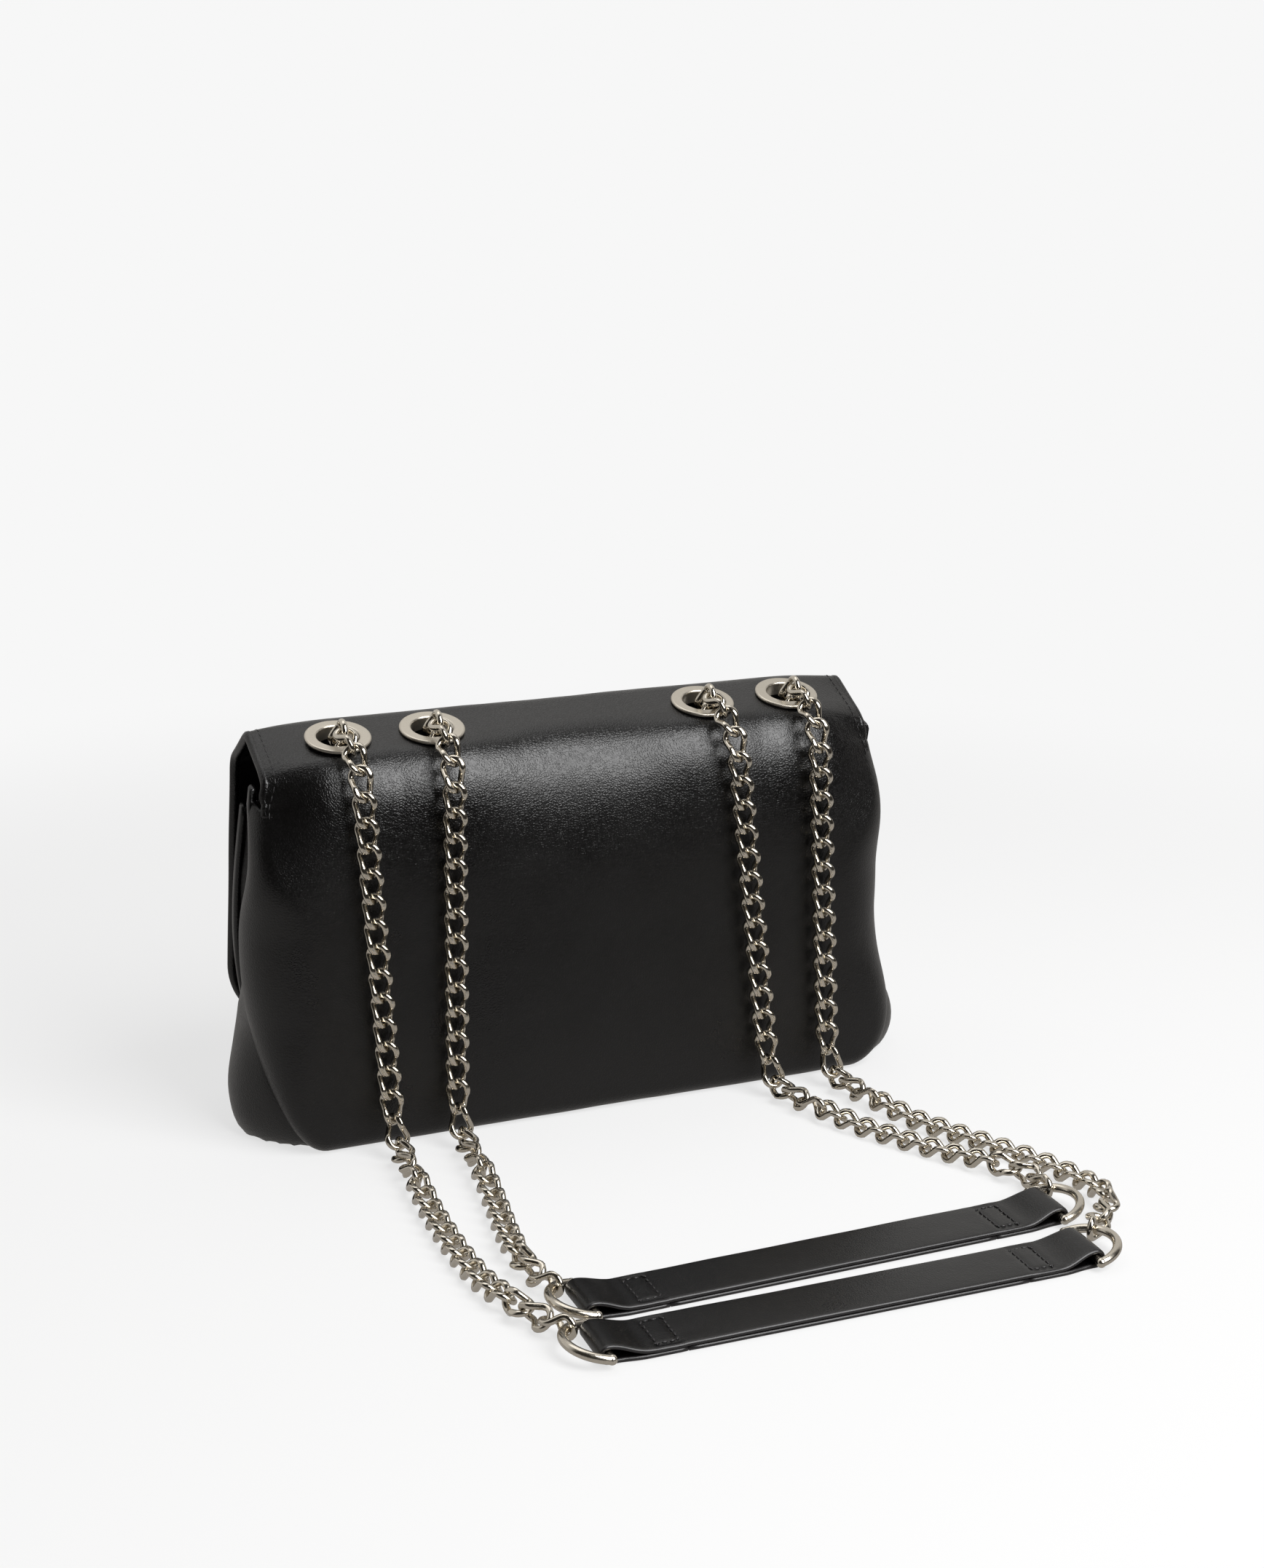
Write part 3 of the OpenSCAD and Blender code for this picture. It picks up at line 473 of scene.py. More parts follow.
def outlineChain(topZ, sideCount, baseCount, extra=()):
    # Points and outward ways of half the outline up to topZ, and of the base between the two corners.
    way = np.gradient(outline, axis=0)
    way /= np.linalg.norm(way, axis=1)[:, None]
    out = np.column_stack([way[:, 1], -way[:, 0]])
    corner = int(np.argmin(abs(way[:, 0] - way[:, 1])))
    run = np.concatenate([[0], np.cumsum(np.linalg.norm(np.diff(outline, axis=0), axis=1))])
    topRun = np.interp(topZ, outline[:, 1], run)

    def sample(at):
        point = np.column_stack([np.interp(at, run, outline[:, 0]), np.interp(at, run, outline[:, 1])])
        normal = np.column_stack([np.interp(at, run, out[:, 0]), np.interp(at, run, out[:, 1])])
        return point, normal / np.linalg.norm(normal, axis=1)[:, None]

    side = sample(np.concatenate([np.linspace(run[corner], topRun, sideCount),
                                  [np.interp(z, outline[:, 1], run) for z in extra]]))
    half = run[corner] + bag["baseLength"] / 2
    along = np.linspace(half, -half, baseCount)
    reach = np.abs(along) - bag["baseLength"] / 2
    point, normal = sample(np.clip(reach, 0, None))
    flat = reach < 0
    point[flat] = np.column_stack([np.abs(along[flat]), np.zeros(flat.sum())])
    normal[flat] = (0, -1)
    mirror = np.column_stack([np.where(along < 0, -1, 1), np.ones(baseCount)])
    return side, (point * mirror, normal * mirror)


def fillPatch(left, right, bottom, top):
    rows, columns = len(left), len(bottom)
    u = np.linspace(0, 1, columns)[None, :, None]
    v = np.linspace(0, 1, rows)[:, None, None]
    blend = (1 - v) * bottom[None] + v * top[None] + (1 - u) * left[:, None] + u * right[:, None]
    corners = ((1 - u) * (1 - v) * bottom[0] + u * (1 - v) * bottom[-1]
               + (1 - u) * v * top[0] + u * v * top[-1])
    return blend - corners


def edgeDistance(points):
    # Distance of face points from the outline, both ends and the base
    near = outline[::3]
    every = np.vstack([near, near * (-1, 1)])
    flat = points.reshape(-1, 2)
    gaps = np.sqrt(((flat[:, None] - every[None]) ** 2).sum(-1)).min(1)
    inside = np.abs(flat[:, 0]) < bag["baseLength"] / 2
    gaps[inside] = np.minimum(gaps[inside], flat[inside, 1])
    return gaps.reshape(points.shape[:-1])


# Sheets of leather: quads, their normals, and the thickness

def gridFaces(index):
    rows, columns = index.shape
    return [(index[i, j], index[i, j + 1], index[i + 1, j + 1], index[i + 1, j])
            for i in range(rows - 1) for j in range(columns - 1)]


def turned(faces):
    return [f[::-1] for f in faces]


def faceNormals(points, quads):
    a, b, c, d = (points[quads[:, i]] for i in range(4))
    return np.cross(c - a, d - b)


def sheetNormals(points, faces):
    quads = np.asarray(faces)
    normals = np.zeros_like(points)
    for i in range(4):
        np.add.at(normals, quads[:, i], faceNormals(points, quads))
    return normals / (np.linalg.norm(normals, axis=1)[:, None] + 1e-12)


def closeSheet(name, points, faces, thickness, innerSlots, materials, rimSlot=0, rimSteps=6):
    # Gives an open sheet its thickness inwards, with a rounded rim round every open edge.
    points = np.asarray(points, float)
    quads = np.asarray(faces)
    normals, ways = sheetNormals(points, quads), faceNormals(points, quads)
    edges = {}
    for i in range(4):
        for f, (p, q) in enumerate(zip(quads[:, i].tolist(), quads[:, (i + 1) % 4].tolist())):
            edges[(p, q)] = f
    rim = [(p, q) for p, q in edges if (q, p) not in edges]
    outward = np.zeros_like(points)
    for p, q in rim:
        way = np.cross(points[q] - points[p], ways[edges[(p, q)]])
        way /= np.linalg.norm(way) + 1e-12
        outward[p] += way
        outward[q] += way
    count = len(points)
    everyPoint = [points, points - normals * thickness]
    ringStart = {}
    radius = thickness / 2
    total = 2 * count
    turns = np.pi * np.arange(1, rimSteps) / rimSteps
    for p in sorted({p for pair in rim for p in pair}):
        way = outward[p] - normals[p] * np.dot(outward[p], normals[p])
        way /= np.linalg.norm(way) + 1e-12
        arc = np.cos(turns)[:, None] * normals[p] + np.sin(turns)[:, None] * way
        everyPoint.append(points[p] - normals[p] * radius + radius * arc)
        ringStart[p] = total
        total += rimSteps - 1

    def ring(p, k):
        return p if k == 0 else p + count if k == rimSteps else ringStart[p] + k - 1

    allFaces = [tuple(f) for f in quads.tolist()]
    allFaces += [tuple(v + count for v in reversed(f)) for f in quads.tolist()]
    slots = [0] * len(quads) + list(innerSlots)
    for p, q in rim:
        for k in range(rimSteps):
            allFaces.append((ring(q, k), ring(p, k), ring(p, k + 1), ring(q, k + 1)))
            slots.append(rimSlot)
    return makeObject(name, np.vstack(everyPoint), allFaces, slots, materials)


def wobble(points, size, seed):
    # Smooth noise from -1 to 1 at a feature size in millimetres
    shift = Vector((seed * 17.3, seed * 5.1, seed * 9.7))
    return np.array([noise.noise(Vector(p) / size + shift) for p in points])


# A panel's face: a grid inside the outline that rolls away near the ends, and a band that curls round the
# ends and the base. The rear panel curls over a wide radius at its ends, tighter at the notch and the base.

rearFace = {"side": 6.0, "wide": 21.0, "base": 6.0, "roll": 2.5, "upperRoll": 10, "rows": 52,
            "columns": 131}
frontFace = {"side": 5.0, "wide": 5.0, "base": 4.0, "roll": 1.5, "upperRoll": 1.5, "rows": 46,
             "columns": 101, "footHeight": 20}
rolls = {"band": 30, "upperFrom": 92, "upperOver": 35, "fold": 2, "brow": 4, "hemLoss": 0.7}
wrap = {
    "columns": 14, "straight": 1.5, "wideBelow": 118, "wideOver": 40, "narrowBelow": 6, "narrowOver": 44,
    "downPower": 1.5, "notchLift": 4.5, "liftFrom": 104, "liftOver": 23,
}


def rollAt(z, face):
    share = ease((z - rolls["upperFrom"]) / rolls["upperOver"])
    return face["roll"] + (face["upperRoll"] - face["roll"]) * share


def wrapRadius(places, normals, face):
    z = places[:, 1]
    share = ease((wrap["wideBelow"] - z) / wrap["wideOver"])
    share = share * ease((z - wrap["narrowBelow"]) / wrap["narrowOver"])
    wide = face["side"] + (face["wide"] - face["side"]) * share
    return wide - (wide - face["base"]) * np.clip(-normals[:, 1], 0, 1) ** wrap["downPower"]


def wrapBend(depth, roll, size):
    # Slope where the curl starts, its radius, and its whole depth
    slope = np.arctan(2 * roll * (rolls["band"] - size) / rolls["band"] ** 2)
    bend = size / (1 - np.sin(slope))
    return slope, bend, depth + bend * np.cos(slope)


def wrapDepth(z, down, face):
    size = wrapRadius(np.array([[0, z]]), np.array([[0, -down]]), face)[0]
    roll = float(rollAt(z, face))
    return wrapBend(roll * (1 - size / rolls["band"]) ** 2, roll, size)[2]


def panelFace(face, topZ, notchZ, place):
    # Returns points, faces, the grid of indices and the index of the notch row.
    notched = topZ > notchZ
    above = [(notchZ + topZ) / 2, topZ] if notched else []
    side, base = outlineChain(notchZ, face["rows"], face["columns"], above)
    radius, baseRadii = wrapRadius(*side, face), wrapRadius(*base, face)
    left = side[0] - side[1] * radius[:, None]
    bottom = base[0] - base[1] * baseRadii[:, None]
    edgeX, edgeZ = left[-1]
    columns = len(bottom)
    top = np.column_stack([np.linspace(edgeX, -edgeX, columns), np.full(columns, edgeZ)])
    grid = fillPatch(left, left * (-1, 1), bottom, top)
    roll = rollAt(grid[..., 1], face)
    depth = roll * np.clip((rolls["band"] - edgeDistance(grid)) / rolls["band"], 0, 1) ** 2
    points = [place(grid.reshape(-1, 2), depth.ravel())]
    index = np.arange(grid[..., 0].size).reshape(grid.shape[:2])
    faces = gridFaces(index)
    notch = face["rows"] - 1
    chain = ([(k, 0) for k in range(notch, -1, -1)] + [(0, j) for j in range(1, columns - 1)]
             + [(k, columns - 1) for k in range(notch + 1)])
    total = index.size
    previous = None
    for k, j in chain:
        onSide = j in (0, columns - 1)
        normal = side[1][k] * ((1 if j == 0 else -1), 1) if onSide else base[1][j]
        slope, bend, _ = wrapBend(depth[k, j], roll[k, j], radius[k] if onSide else baseRadii[j])
        turns = np.linspace(slope, math.pi / 2, wrap["columns"] + 1)[1:]
        out = bend * (np.sin(turns) - math.sin(slope))
        deep = depth[k, j] + bend * (math.cos(slope) - np.cos(turns))
        out = np.append(out, out[-1])
        deep = np.append(deep, deep[-1] + wrap["straight"])
        flat = grid[k, j] + out[:, None] * normal
        if notched:
            lift = ease((flat[:, 1] - wrap["liftFrom"]) / wrap["liftOver"])
            flat[:, 1] += wrap["notchLift"] * np.linspace(0, 1, len(out)) ** 2 * lift
        points.append(place(flat, deep))
        current = [index[k, j]] + list(range(total, total + len(out)))
        total += len(out)
        if previous:
            faces += gridFaces(np.array([previous, current]))
        previous = current
    return np.vstack(points), faces, index, notch


# The bag's right end, seen from behind, has sagged: its lower part stands further out.

sag = {"reach": 13, "below": 65, "over": 60, "from": 55, "across": 65, "behind": -28}


def sagRight(points):
    low = ease((sag["below"] - points[:, 2]) / sag["over"]) * (points[:, 1] > sag["behind"])
    far = ease((-points[:, 0] - sag["from"]) / sag["across"])
    return points - np.column_stack([sag["reach"] * low * far, 0 * low, 0 * low])


def placeRear(flat, depth):
    return np.column_stack([flat[:, 0], bag["baseDepth"] / 2 - depth, flat[:, 1]])


def placeFront(flat, depth):
    tilt = math.radians(bag["frontTilt"])
    upright = np.clip(flat[:, 1] / frontFace["footHeight"], 0, 1)
    return np.column_stack([flat[:, 0] * bag["frontShare"],
                            -bag["baseDepth"] / 2 + flat[:, 1] * math.tan(tilt) + depth * math.cos(tilt),
                            flat[:, 1] - depth * math.sin(tilt) * upright])


# Rear panel, shoulder, top and flap are one skin of leather.

skinCounts = {"flats": 8, "step": 1.7, "hemRows": 24}
skinEdge = {"roll": 3.4, "inward": 0.5, "step": 0.4, "stitchInset": 3.4, "stitchLift": 0.05, "archFlat": 3,
            "archOver": 12, "bareFrom": 106}
notchHeight = 127
eyelets = {"across": [84.5, 51, -51, -84.5], "inset": 13.4, "hole": 9.4, "clear": 8.5, "depth": 4}


def skinStands():
    # Each row's [y, z, heading, half length, roll], from the notch to the hem
    stands = [(bag["baseDepth"] / 2, z, 90, outlineX(z), float(rollAt(z, rearFace)))
              for z in (notchHeight, (notchHeight + bag["rearHeight"]) / 2, bag["rearHeight"])]
    runs = list(np.linspace(0, cornerRun, round(cornerRun / skinCounts["step"]) + 1)[1:])
    runs += [cornerRun + bag["hemRadius"] * math.sin(a)
             for a in np.linspace(0, math.pi / 2, skinCounts["hemRows"] + 1)[1:]]
    rollSizes = (rearFace["upperRoll"], rolls["fold"], rolls["brow"])
    for run in runs:
        roll = float(np.interp(run, (0, foldRun, frontFrom), rollSizes))
        if run > cornerRun:
            roll *= 1 - rolls["hemLoss"] * (run - cornerRun) / bag["hemRadius"]
        stands.append((*walkAt(run), halfAt(run), roll))
    return stands, runs


def leatherSkin():
    # Returns points, faces, the points of the free edge and those of the line of stitches.
    points, faces, index, notch = panelFace(rearFace, bag["rearHeight"], notchHeight, placeRear)
    columns, flats, side = rearFace["columns"], skinCounts["flats"], rearFace["side"]
    stands, runs = skinStands()
    extra = []

    def addRow(stand, xs):
        y, z, heading, half, roll = stand
        a = math.radians(heading)
        start = len(points) + len(extra)
        for x in xs:
            deep = roll * max(0, (abs(x) - half + rolls["band"]) / rolls["band"]) ** 2
            extra.append((x, y - deep * math.sin(a), z + deep * math.cos(a)))
        return list(range(start, start + len(xs)))

    rows = [list(row) for row in index[notch:]]
    rows += [addRow(stand, (stand[3] - side) * np.linspace(1, -1, columns)) for stand in stands[len(rows):]]
    ends = []
    for stand in stands:
        width = side
        if stand[0] > 0:
            share = ease((stand[1] - bag["rearHeight"]) / skinEdge["archOver"])
            width = skinEdge["archFlat"] + (side - skinEdge["archFlat"]) * share
        edge = stand[3] - side + width * np.arange(1, flats + 1) / flats
        ends.append([addRow(stand, sign * edge) for sign in (1, -1)])
    for i in range(len(rows) - 1):
        if i > 1:
            faces += gridFaces(np.array(rows[i:i + 2]))
        for which, j in ((0, 0), (1, columns - 1)):
            low, high = ([rows[k][j]] + ends[k][which] for k in (i, i + 1))
            quads = [(low[c + 1], low[c], high[c], high[c + 1]) for c in range(flats)]
            faces += turned(quads) if which else quads
    edge = [end[0][-1] for end in ends] + rows[-1] + [end[1][-1] for end in ends[::-1]]
    inset = flats - 1 - round(skinEdge["stitchInset"] * flats / side)
    hemRow = int(np.searchsorted(runs, hemRun - skinEdge["stitchInset"])) + len(index[notch:]) - 1
    seam = ([end[0][inset] for end in ends[:hemRow]] + rows[hemRow - 1]
            + [end[1][inset] for end in ends[hemRow - 1::-1]])
    return np.vstack([points, extra]), faces, edge, seam


# The real shoulder is rounder than a plain arc: it turns slowly from low on the rear panel, and stays
# tighter beside each eyelet, where the washer holds the leather flat.

shoulder = {
    "from": -72, "roundTo": 26, "roundPower": 4.6, "tightTo": 20, "tightPower": 6.6, "bulgeTo": 0.62,
    "calm": 6, "blend": 36, "endBlend": 22,
}


def roundedWalk(endRun, power):
    # A curve with the walk's own ends and turn. Its length and a slight outward bulge are solved for.
    endY, endZ, heading = walkAt(endRun)
    goal = np.array([endY - bag["baseDepth"] / 2, endZ - bag["rearHeight"] - shoulder["from"]])
    t = np.linspace(0, 1, 241)
    swing = np.sin(np.pi * np.clip(t / shoulder["bulgeTo"], 0, 1)) ** 2

    def trace(length, bulge):
        angle = math.radians(heading - 90) * t ** power - bulge * swing
        steps = np.column_stack([-np.sin(angle), np.cos(angle)])
        middle = (steps[1:] + steps[:-1]) / 2 * length / (len(t) - 1)
        return np.vstack([[0, 0], np.cumsum(middle, axis=0)])

    values = np.array([endRun - shoulder["from"], 0.0])
    for _ in range(12):
        miss = trace(*values)[-1] - goal
        slopes = np.column_stack([(trace(*(values + step))[-1] - goal - miss) / step.sum()
                                  for step in (np.array([1e-3, 0]), np.array([0, 1e-4]))])
        values = values - np.linalg.solve(slopes, miss)
    runs = shoulder["from"] + t * (endRun - shoulder["from"])
    rear, top = bag["baseDepth"] / 2, bag["rearHeight"]
    plain = np.array([walkAt(r)[:2] if r > 0 else (rear, top + r) for r in runs])
    return runs, trace(*values) + plain[0] - plain


roundWalk = roundedWalk(shoulder["roundTo"], shoulder["roundPower"])
tightWalk = roundedWalk(shoulder["tightTo"], shoulder["tightPower"])
print("shoulder solved")


def shoulderShift(points):
    # How far the rounder shoulder lies from the plain one, at points of the rear, the shoulder and the top
    radius, topStart = bag["shoulderRadius"], segments[1][0]
    angle = np.arctan2(points[:, 2] - bag["rearHeight"], points[:, 1] - bag["baseDepth"] / 2 + radius)
    onTop = topFrom + (topStart[0] - points[:, 1]) / math.cos(math.radians(bag["topTilt"]))
    run = np.where(angle < math.radians(90 - bag["topTilt"]), radius * angle, onTop)
    run = np.where(points[:, 2] <= bag["rearHeight"], points[:, 2] - bag["rearHeight"], run)
    moves = [np.column_stack([np.interp(run, runs, shift[:, axis], 0, 0) for axis in (0, 1)])
             for runs, shift in (roundWalk, tightWalk)]
    gap = np.min([np.abs(points[:, 0] - x) for x in eyelets["across"]], axis=0)
    outside = np.abs(points[:, 0]) > max(eyelets["across"])
    over = np.where(outside, shoulder["endBlend"], shoulder["blend"])
    share = ease((gap - shoulder["calm"]) / over)[:, None]
    return np.column_stack([np.zeros(len(points)), moves[0] * share + moves[1] * (1 - share)])


def eyeletFrame(x):
    # The middle of an eyelet, and the ways down its slope and out of the leather
    y, z = walkAt(foldRun - eyelets["inset"])[:2]
    a = math.radians(bag["topTilt"])
    level, drop = math.cos(a), math.sin(a)
    return np.array([x, y, z]), np.array([0, level, -drop]), np.array([0, drop, level])


def cutEyelets(points, faces):
    for x in eyelets["across"]:
        centre, back, up = eyeletFrame(x)
        away = points - centre
        flat = np.column_stack([away[:, 0], away @ back])
        reach = np.linalg.norm(flat, axis=1)
        close = (reach < eyelets["clear"]) & (np.abs(away @ up) < eyelets["depth"])
        inHole = [any(close[v] for v in f) for f in faces]
        border = np.array(sorted({v for f, cut in zip(faces, inHole) if cut for v in f if not close[v]}))
        moved = flat[border] * (eyelets["hole"] / reach[border])[:, None]
        points[border] = (centre + moved[:, :1] * np.array([1, 0, 0]) + moved[:, 1:] * back
                          + (away[border] @ up)[:, None] * up)
        faces = [f for f, cut in zip(faces, inHole) if not cut]
    used = np.unique(np.array(faces))
    renumber = -np.ones(len(points), int)
    renumber[used] = np.arange(len(used))
    return points[used], [tuple(renumber[list(f)]) for f in faces], renumber


# Slack in the leather: soft waves that die out round the eyelets and the snap
slack = {
    "wave": 0.3, "waveSize": 34, "ripple": 0.12, "rippleSize": 13, "eyeletCalm": 13, "eyeletOver": 12,
    "snap": (0, -40, 48), "snapCalm": 14, "snapOver": 20,
}


def skinSlack(points):
    middles = [eyeletFrame(x)[0] for x in eyelets["across"]]
    eyeletGap = np.min([np.linalg.norm(points - middle, axis=1) for middle in middles], axis=0)
    snapGap = np.linalg.norm(points - slack["snap"], axis=1)
    loose = (ease((eyeletGap - slack["eyeletCalm"]) / slack["eyeletOver"])
             * ease((snapGap - slack["snapCalm"]) / slack["snapOver"]))
    move = slack["wave"] * wobble(points, slack["waveSize"], 1)
    move += slack["ripple"] * wobble(points, slack["rippleSize"], 2)
    return (move * loose)[:, None]


skinPoints, skinFaces, skinRim, skinSeam = leatherSkin()
skinPoints, skinFaces, renumber = cutEyelets(skinPoints, skinFaces)
centres = skinPoints[np.array(skinFaces)].mean(1)
isRear = (skinPoints[:, 1] > foldStand[0])[:, None]
skinPoints = np.where(isRear, sagRight(skinPoints + shoulderShift(skinPoints)), skinPoints)
skinPoints = skinPoints + sheetNormals(skinPoints, skinFaces) * skinSlack(skinPoints)
# Inside, the flap is faced with leather, the arches at the ends stay bare, and the rest is lined.
inArch = (np.abs(centres[:, 0]) > skinEdge["bareFrom"]) & (centres[:, 2] > notchHeight)
innerSlots = np.where(centres[:, 1] < foldStand[0], 2, np.where(inArch, 0, 1)).tolist()
skin = closeSheet("leather_skin", skinPoints, skinFaces, bag["skin"], innerSlots,
                  [bodyLeather, lining, facingLeather])
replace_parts(skin, "rear_panel", "lining_rear", "flap", "flap_facing")
print("leather skin made", len(skin.data.polygons))


def tubeAlong(name, line, diameter, material):
    curve = bpy.data.curves.new(name, "CURVE")
    curve.dimensions = "3D"
    curve.bevel_depth = diameter / 2 * mm
    curve.bevel_resolution = 3
    curve.use_fill_caps = True
    spline = curve.splines.new("POLY")
    spline.points.add(len(line) - 1)
    for point, place in zip(spline.points, np.asarray(line) * mm):
        point.co = (*place, 1)
    source = addObject(name + "_line", curve)
    bpy.context.view_layer.update()
    mesh = bpy.data.meshes.new_from_object(source.evaluated_get(bpy.context.evaluated_depsgraph_get()))
    bpy.data.objects.remove(source)
    mesh.materials.clear()
    mesh.materials.append(material)
    mesh.polygons.foreach_set("use_smooth", [True] * len(mesh.polygons))
    return addObject(name, mesh)


# The skin's free edge is turned and filled, so it stands as a soft roll all the way round.
skinNormals = sheetNormals(skinPoints, skinFaces)
rim = renumber[skinRim]
rimLine = skinPoints[rim] - skinNormals[rim] * bag["skin"] / 2 - np.sign(skinPoints[rim][:, :1]) * (
    skinEdge["inward"], 0, 0)
keep = np.concatenate([[True], np.linalg.norm(np.diff(rimLine, axis=0), axis=1) > skinEdge["step"]])
edgeRoll = tubeAlong("edge_roll", rimLine[keep], skinEdge["roll"], bodyLeather)
seam = renumber[skinSeam]
seamLine = skinPoints[seam] + skinNormals[seam] * skinEdge["stitchLift"]
print("edge roll made")

# Front panel under the flap, with the facing band inside its mouth

mouthBand = 25
frontPoints, frontFaces = panelFace(frontFace, bag["mouthHeight"], bag["mouthHeight"], placeFront)[:2]
frontFaces = turned(frontFaces)
frontHeights = frontPoints[np.array(frontFaces)].mean(1)[:, 2]
frontInner = np.where(frontHeights > bag["mouthHeight"] - mouthBand, 2, 1).tolist()
frontPanel = closeSheet("front_panel_skin", frontPoints, frontFaces, bag["skin"], frontInner,
                        [bodyLeather, lining, facingLeather])
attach(frontPanel, "bag")
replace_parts(frontPanel, "front_panel", "lining_front", "mouth_band")
print("front panel made")

# One band makes both gussets and the base. It folds inwards above a crease and swells below it.

gusset = {
    "thickness": 2.0, "inset": 1.3, "overlap": 1.0, "rearTop": 129, "frontTop": 113, "columns": 33,
    "rows": 62, "baseRows": 61, "frontGap": 1.6, "humpPower": 0.8, "humpGain": 3, "fold": 17, "foldFrom": 46,
    "foldOver": 84, "foldRound": 0.06, "crease": 43, "creaseWidth": 7, "creaseDepth": 2.5, "swell": 19,
    "swellAt": 8, "swellReach": 28, "baseLift": 0.3, "baseInside": 6, "baseOver": 18, "rearFrom": -20,
    "rearOver": 45, "slack": 0.5, "slackSize": 16, "slackFrom": 3, "slackOver": 10,
}


def gussetBand():
    side, base = outlineChain(bag["rearHeight"], gusset["rows"], gusset["baseRows"])
    chain = (list(zip(*side))[::-1] + list(zip(*base))[1:-1]
             + [(point * (-1, 1), normal * (-1, 1)) for point, normal in zip(*side)])
    v = np.linspace(0, 1, gusset["columns"])
    hump = np.sin(np.pi * v) ** gusset["humpPower"]
    valley = np.sqrt(gusset["foldRound"] ** 2 + (1 - np.abs(2 * v - 1)) ** 2) - gusset["foldRound"]
    low, high = bag["bellyHeight"], bag["rearHeight"]
    slope = math.tan(math.radians(bag["frontTilt"]))
    rows = []
    for (x, z), normal in chain:
        over = max(0, (z - low) / (high - low))
        down = min(1, max(0, -normal[1])) ** 2

        def edgeAt(top):
            height = z if z <= low else low + over * (top - low)
            return np.array([math.copysign(outlineX(height), x) if z > low else x, 0, height])

        rear, front = edgeAt(gusset["rearTop"]), edgeAt(gusset["frontTop"])
        rear[1] = (bag["baseDepth"] / 2 - wrapDepth(rear[2], math.sqrt(down), rearFace)
                   - wrap["straight"] + gusset["overlap"])
        front[0] *= bag["frontShare"]
        front[1] = (-bag["baseDepth"] / 2 + front[2] * slope + frontFace["side"]
                    - (frontFace["side"] - frontFace["base"]) * down
                    + gusset["frontGap"] + wrap["straight"] - gusset["overlap"])
        shut = gusset["fold"] * ease((rear[2] - gusset["foldFrom"]) / gusset["foldOver"])
        crease = gusset["creaseDepth"] * ease((rear[2] - gusset["crease"]) / gusset["creaseWidth"])
        swell = gusset["swell"] * math.exp(-((rear[2] - gusset["swellAt"]) / gusset["swellReach"]) ** 2)
        upright = ease((abs(x) - bag["baseLength"] / 2 + gusset["baseInside"]) / gusset["baseOver"])
        onBase = (gusset["inset"] - gusset["baseLift"]) * (1 - upright)
        onBase = onBase * np.clip(hump * gusset["humpGain"], 0, 1)
        out = -gusset["inset"] + onBase + upright * (swell - crease) * hump - shut * valley
        rows.append(rear + (front - rear) * v[:, None] + out[:, None] * np.array([normal[0], 0, normal[1]]))
    points = np.array(rows)
    index = np.arange(points[..., 0].size).reshape(points.shape[:2])
    return points.reshape(-1, 3), gridFaces(index)


gussetPoints, gussetFaces = gussetBand()
gussetNormals = sheetNormals(gussetPoints, gussetFaces)
if gussetNormals[np.argmax(gussetPoints[:, 0])][0] < 0:
    gussetFaces = turned(gussetFaces)
    gussetNormals = -gussetNormals
toRear = ease((gussetPoints[:, 1] - gusset["rearFrom"]) / gusset["rearOver"])[:, None]
onRear = gussetPoints * (1, 0, 1) + (0, bag["baseDepth"] / 2, 0)
gussetPoints = gussetPoints + shoulderShift(onRear) * toRear
loose = gusset["slack"] * ease((gussetPoints[:, 2] - gusset["slackFrom"]) / gusset["slackOver"])
gussetPoints = gussetPoints + gussetNormals * (loose * wobble(gussetPoints, gusset["slackSize"], 3))[:, None]
gussetPoints = sagRight(gussetPoints)
gussetPoints[:, 2] = np.maximum(gussetPoints[:, 2], gusset["baseLift"])
gussetSkin = closeSheet("gusset_band", gussetPoints, gussetFaces, gusset["thickness"],
                        [1] * len(gussetFaces), [bodyLeather, lining])
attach(gussetSkin, "bag")
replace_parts(gussetSkin, "gusset_left", "gusset_right", "gusset_trim_left", "gusset_trim_right", "base_panel")
print("gussets and base made")


# Shoulder strap: two leather straps, turned round the bars of their rings

strap = {
    "width": 17.6, "length": 164, "thickness": 1.5, "turned": 24, "fall": 13, "ringWire": 3.0, "seat": 0.1,
    "turnGap": 0.25, "across": 27, "fuller": 0.13, "fullFrom": 2, "easeOver": 10, "crown": 0.12,
    "groove": 0.35, "grooveWidth": 0.9, "stitchFrom": 15.5, "stitchTo": 22.5, "stitchWidth": 13.6,
    "stitchSink": 0.1, "looseFrom": 4, "wave": 0.14, "waveSize": 22, "pucker": 0.1, "puckerSize": 5,
    "puckerTo": 34, "puckerOver": 12, "backingGap": 1.1, "backingRows": 40,
    "places": {"rear": ((53.5, 169.6), 180.8), "front": ((58.5, 195.0), 179.3)},
}
barWire = strap["ringWire"] - 2 * strap["seat"]
loopOut = barWire / 2 + strap["turnGap"] + strap["thickness"]
barHeight = loopOut + strap["seat"]
lapHeight = strap["thickness"] + 2 * strap["seat"]
stitchHeight = lapHeight + strap["thickness"] - strap["stitchSink"]


def strapPlace(place, points):
    (x, y), way = place
    a = math.radians(way)
    points = np.asarray(points, float)
    return np.column_stack([x + points[:, 0] * math.cos(a) - points[:, 1] * math.sin(a),
                            y + points[:, 0] * math.sin(a) + points[:, 1] * math.cos(a), points[:, 2]])


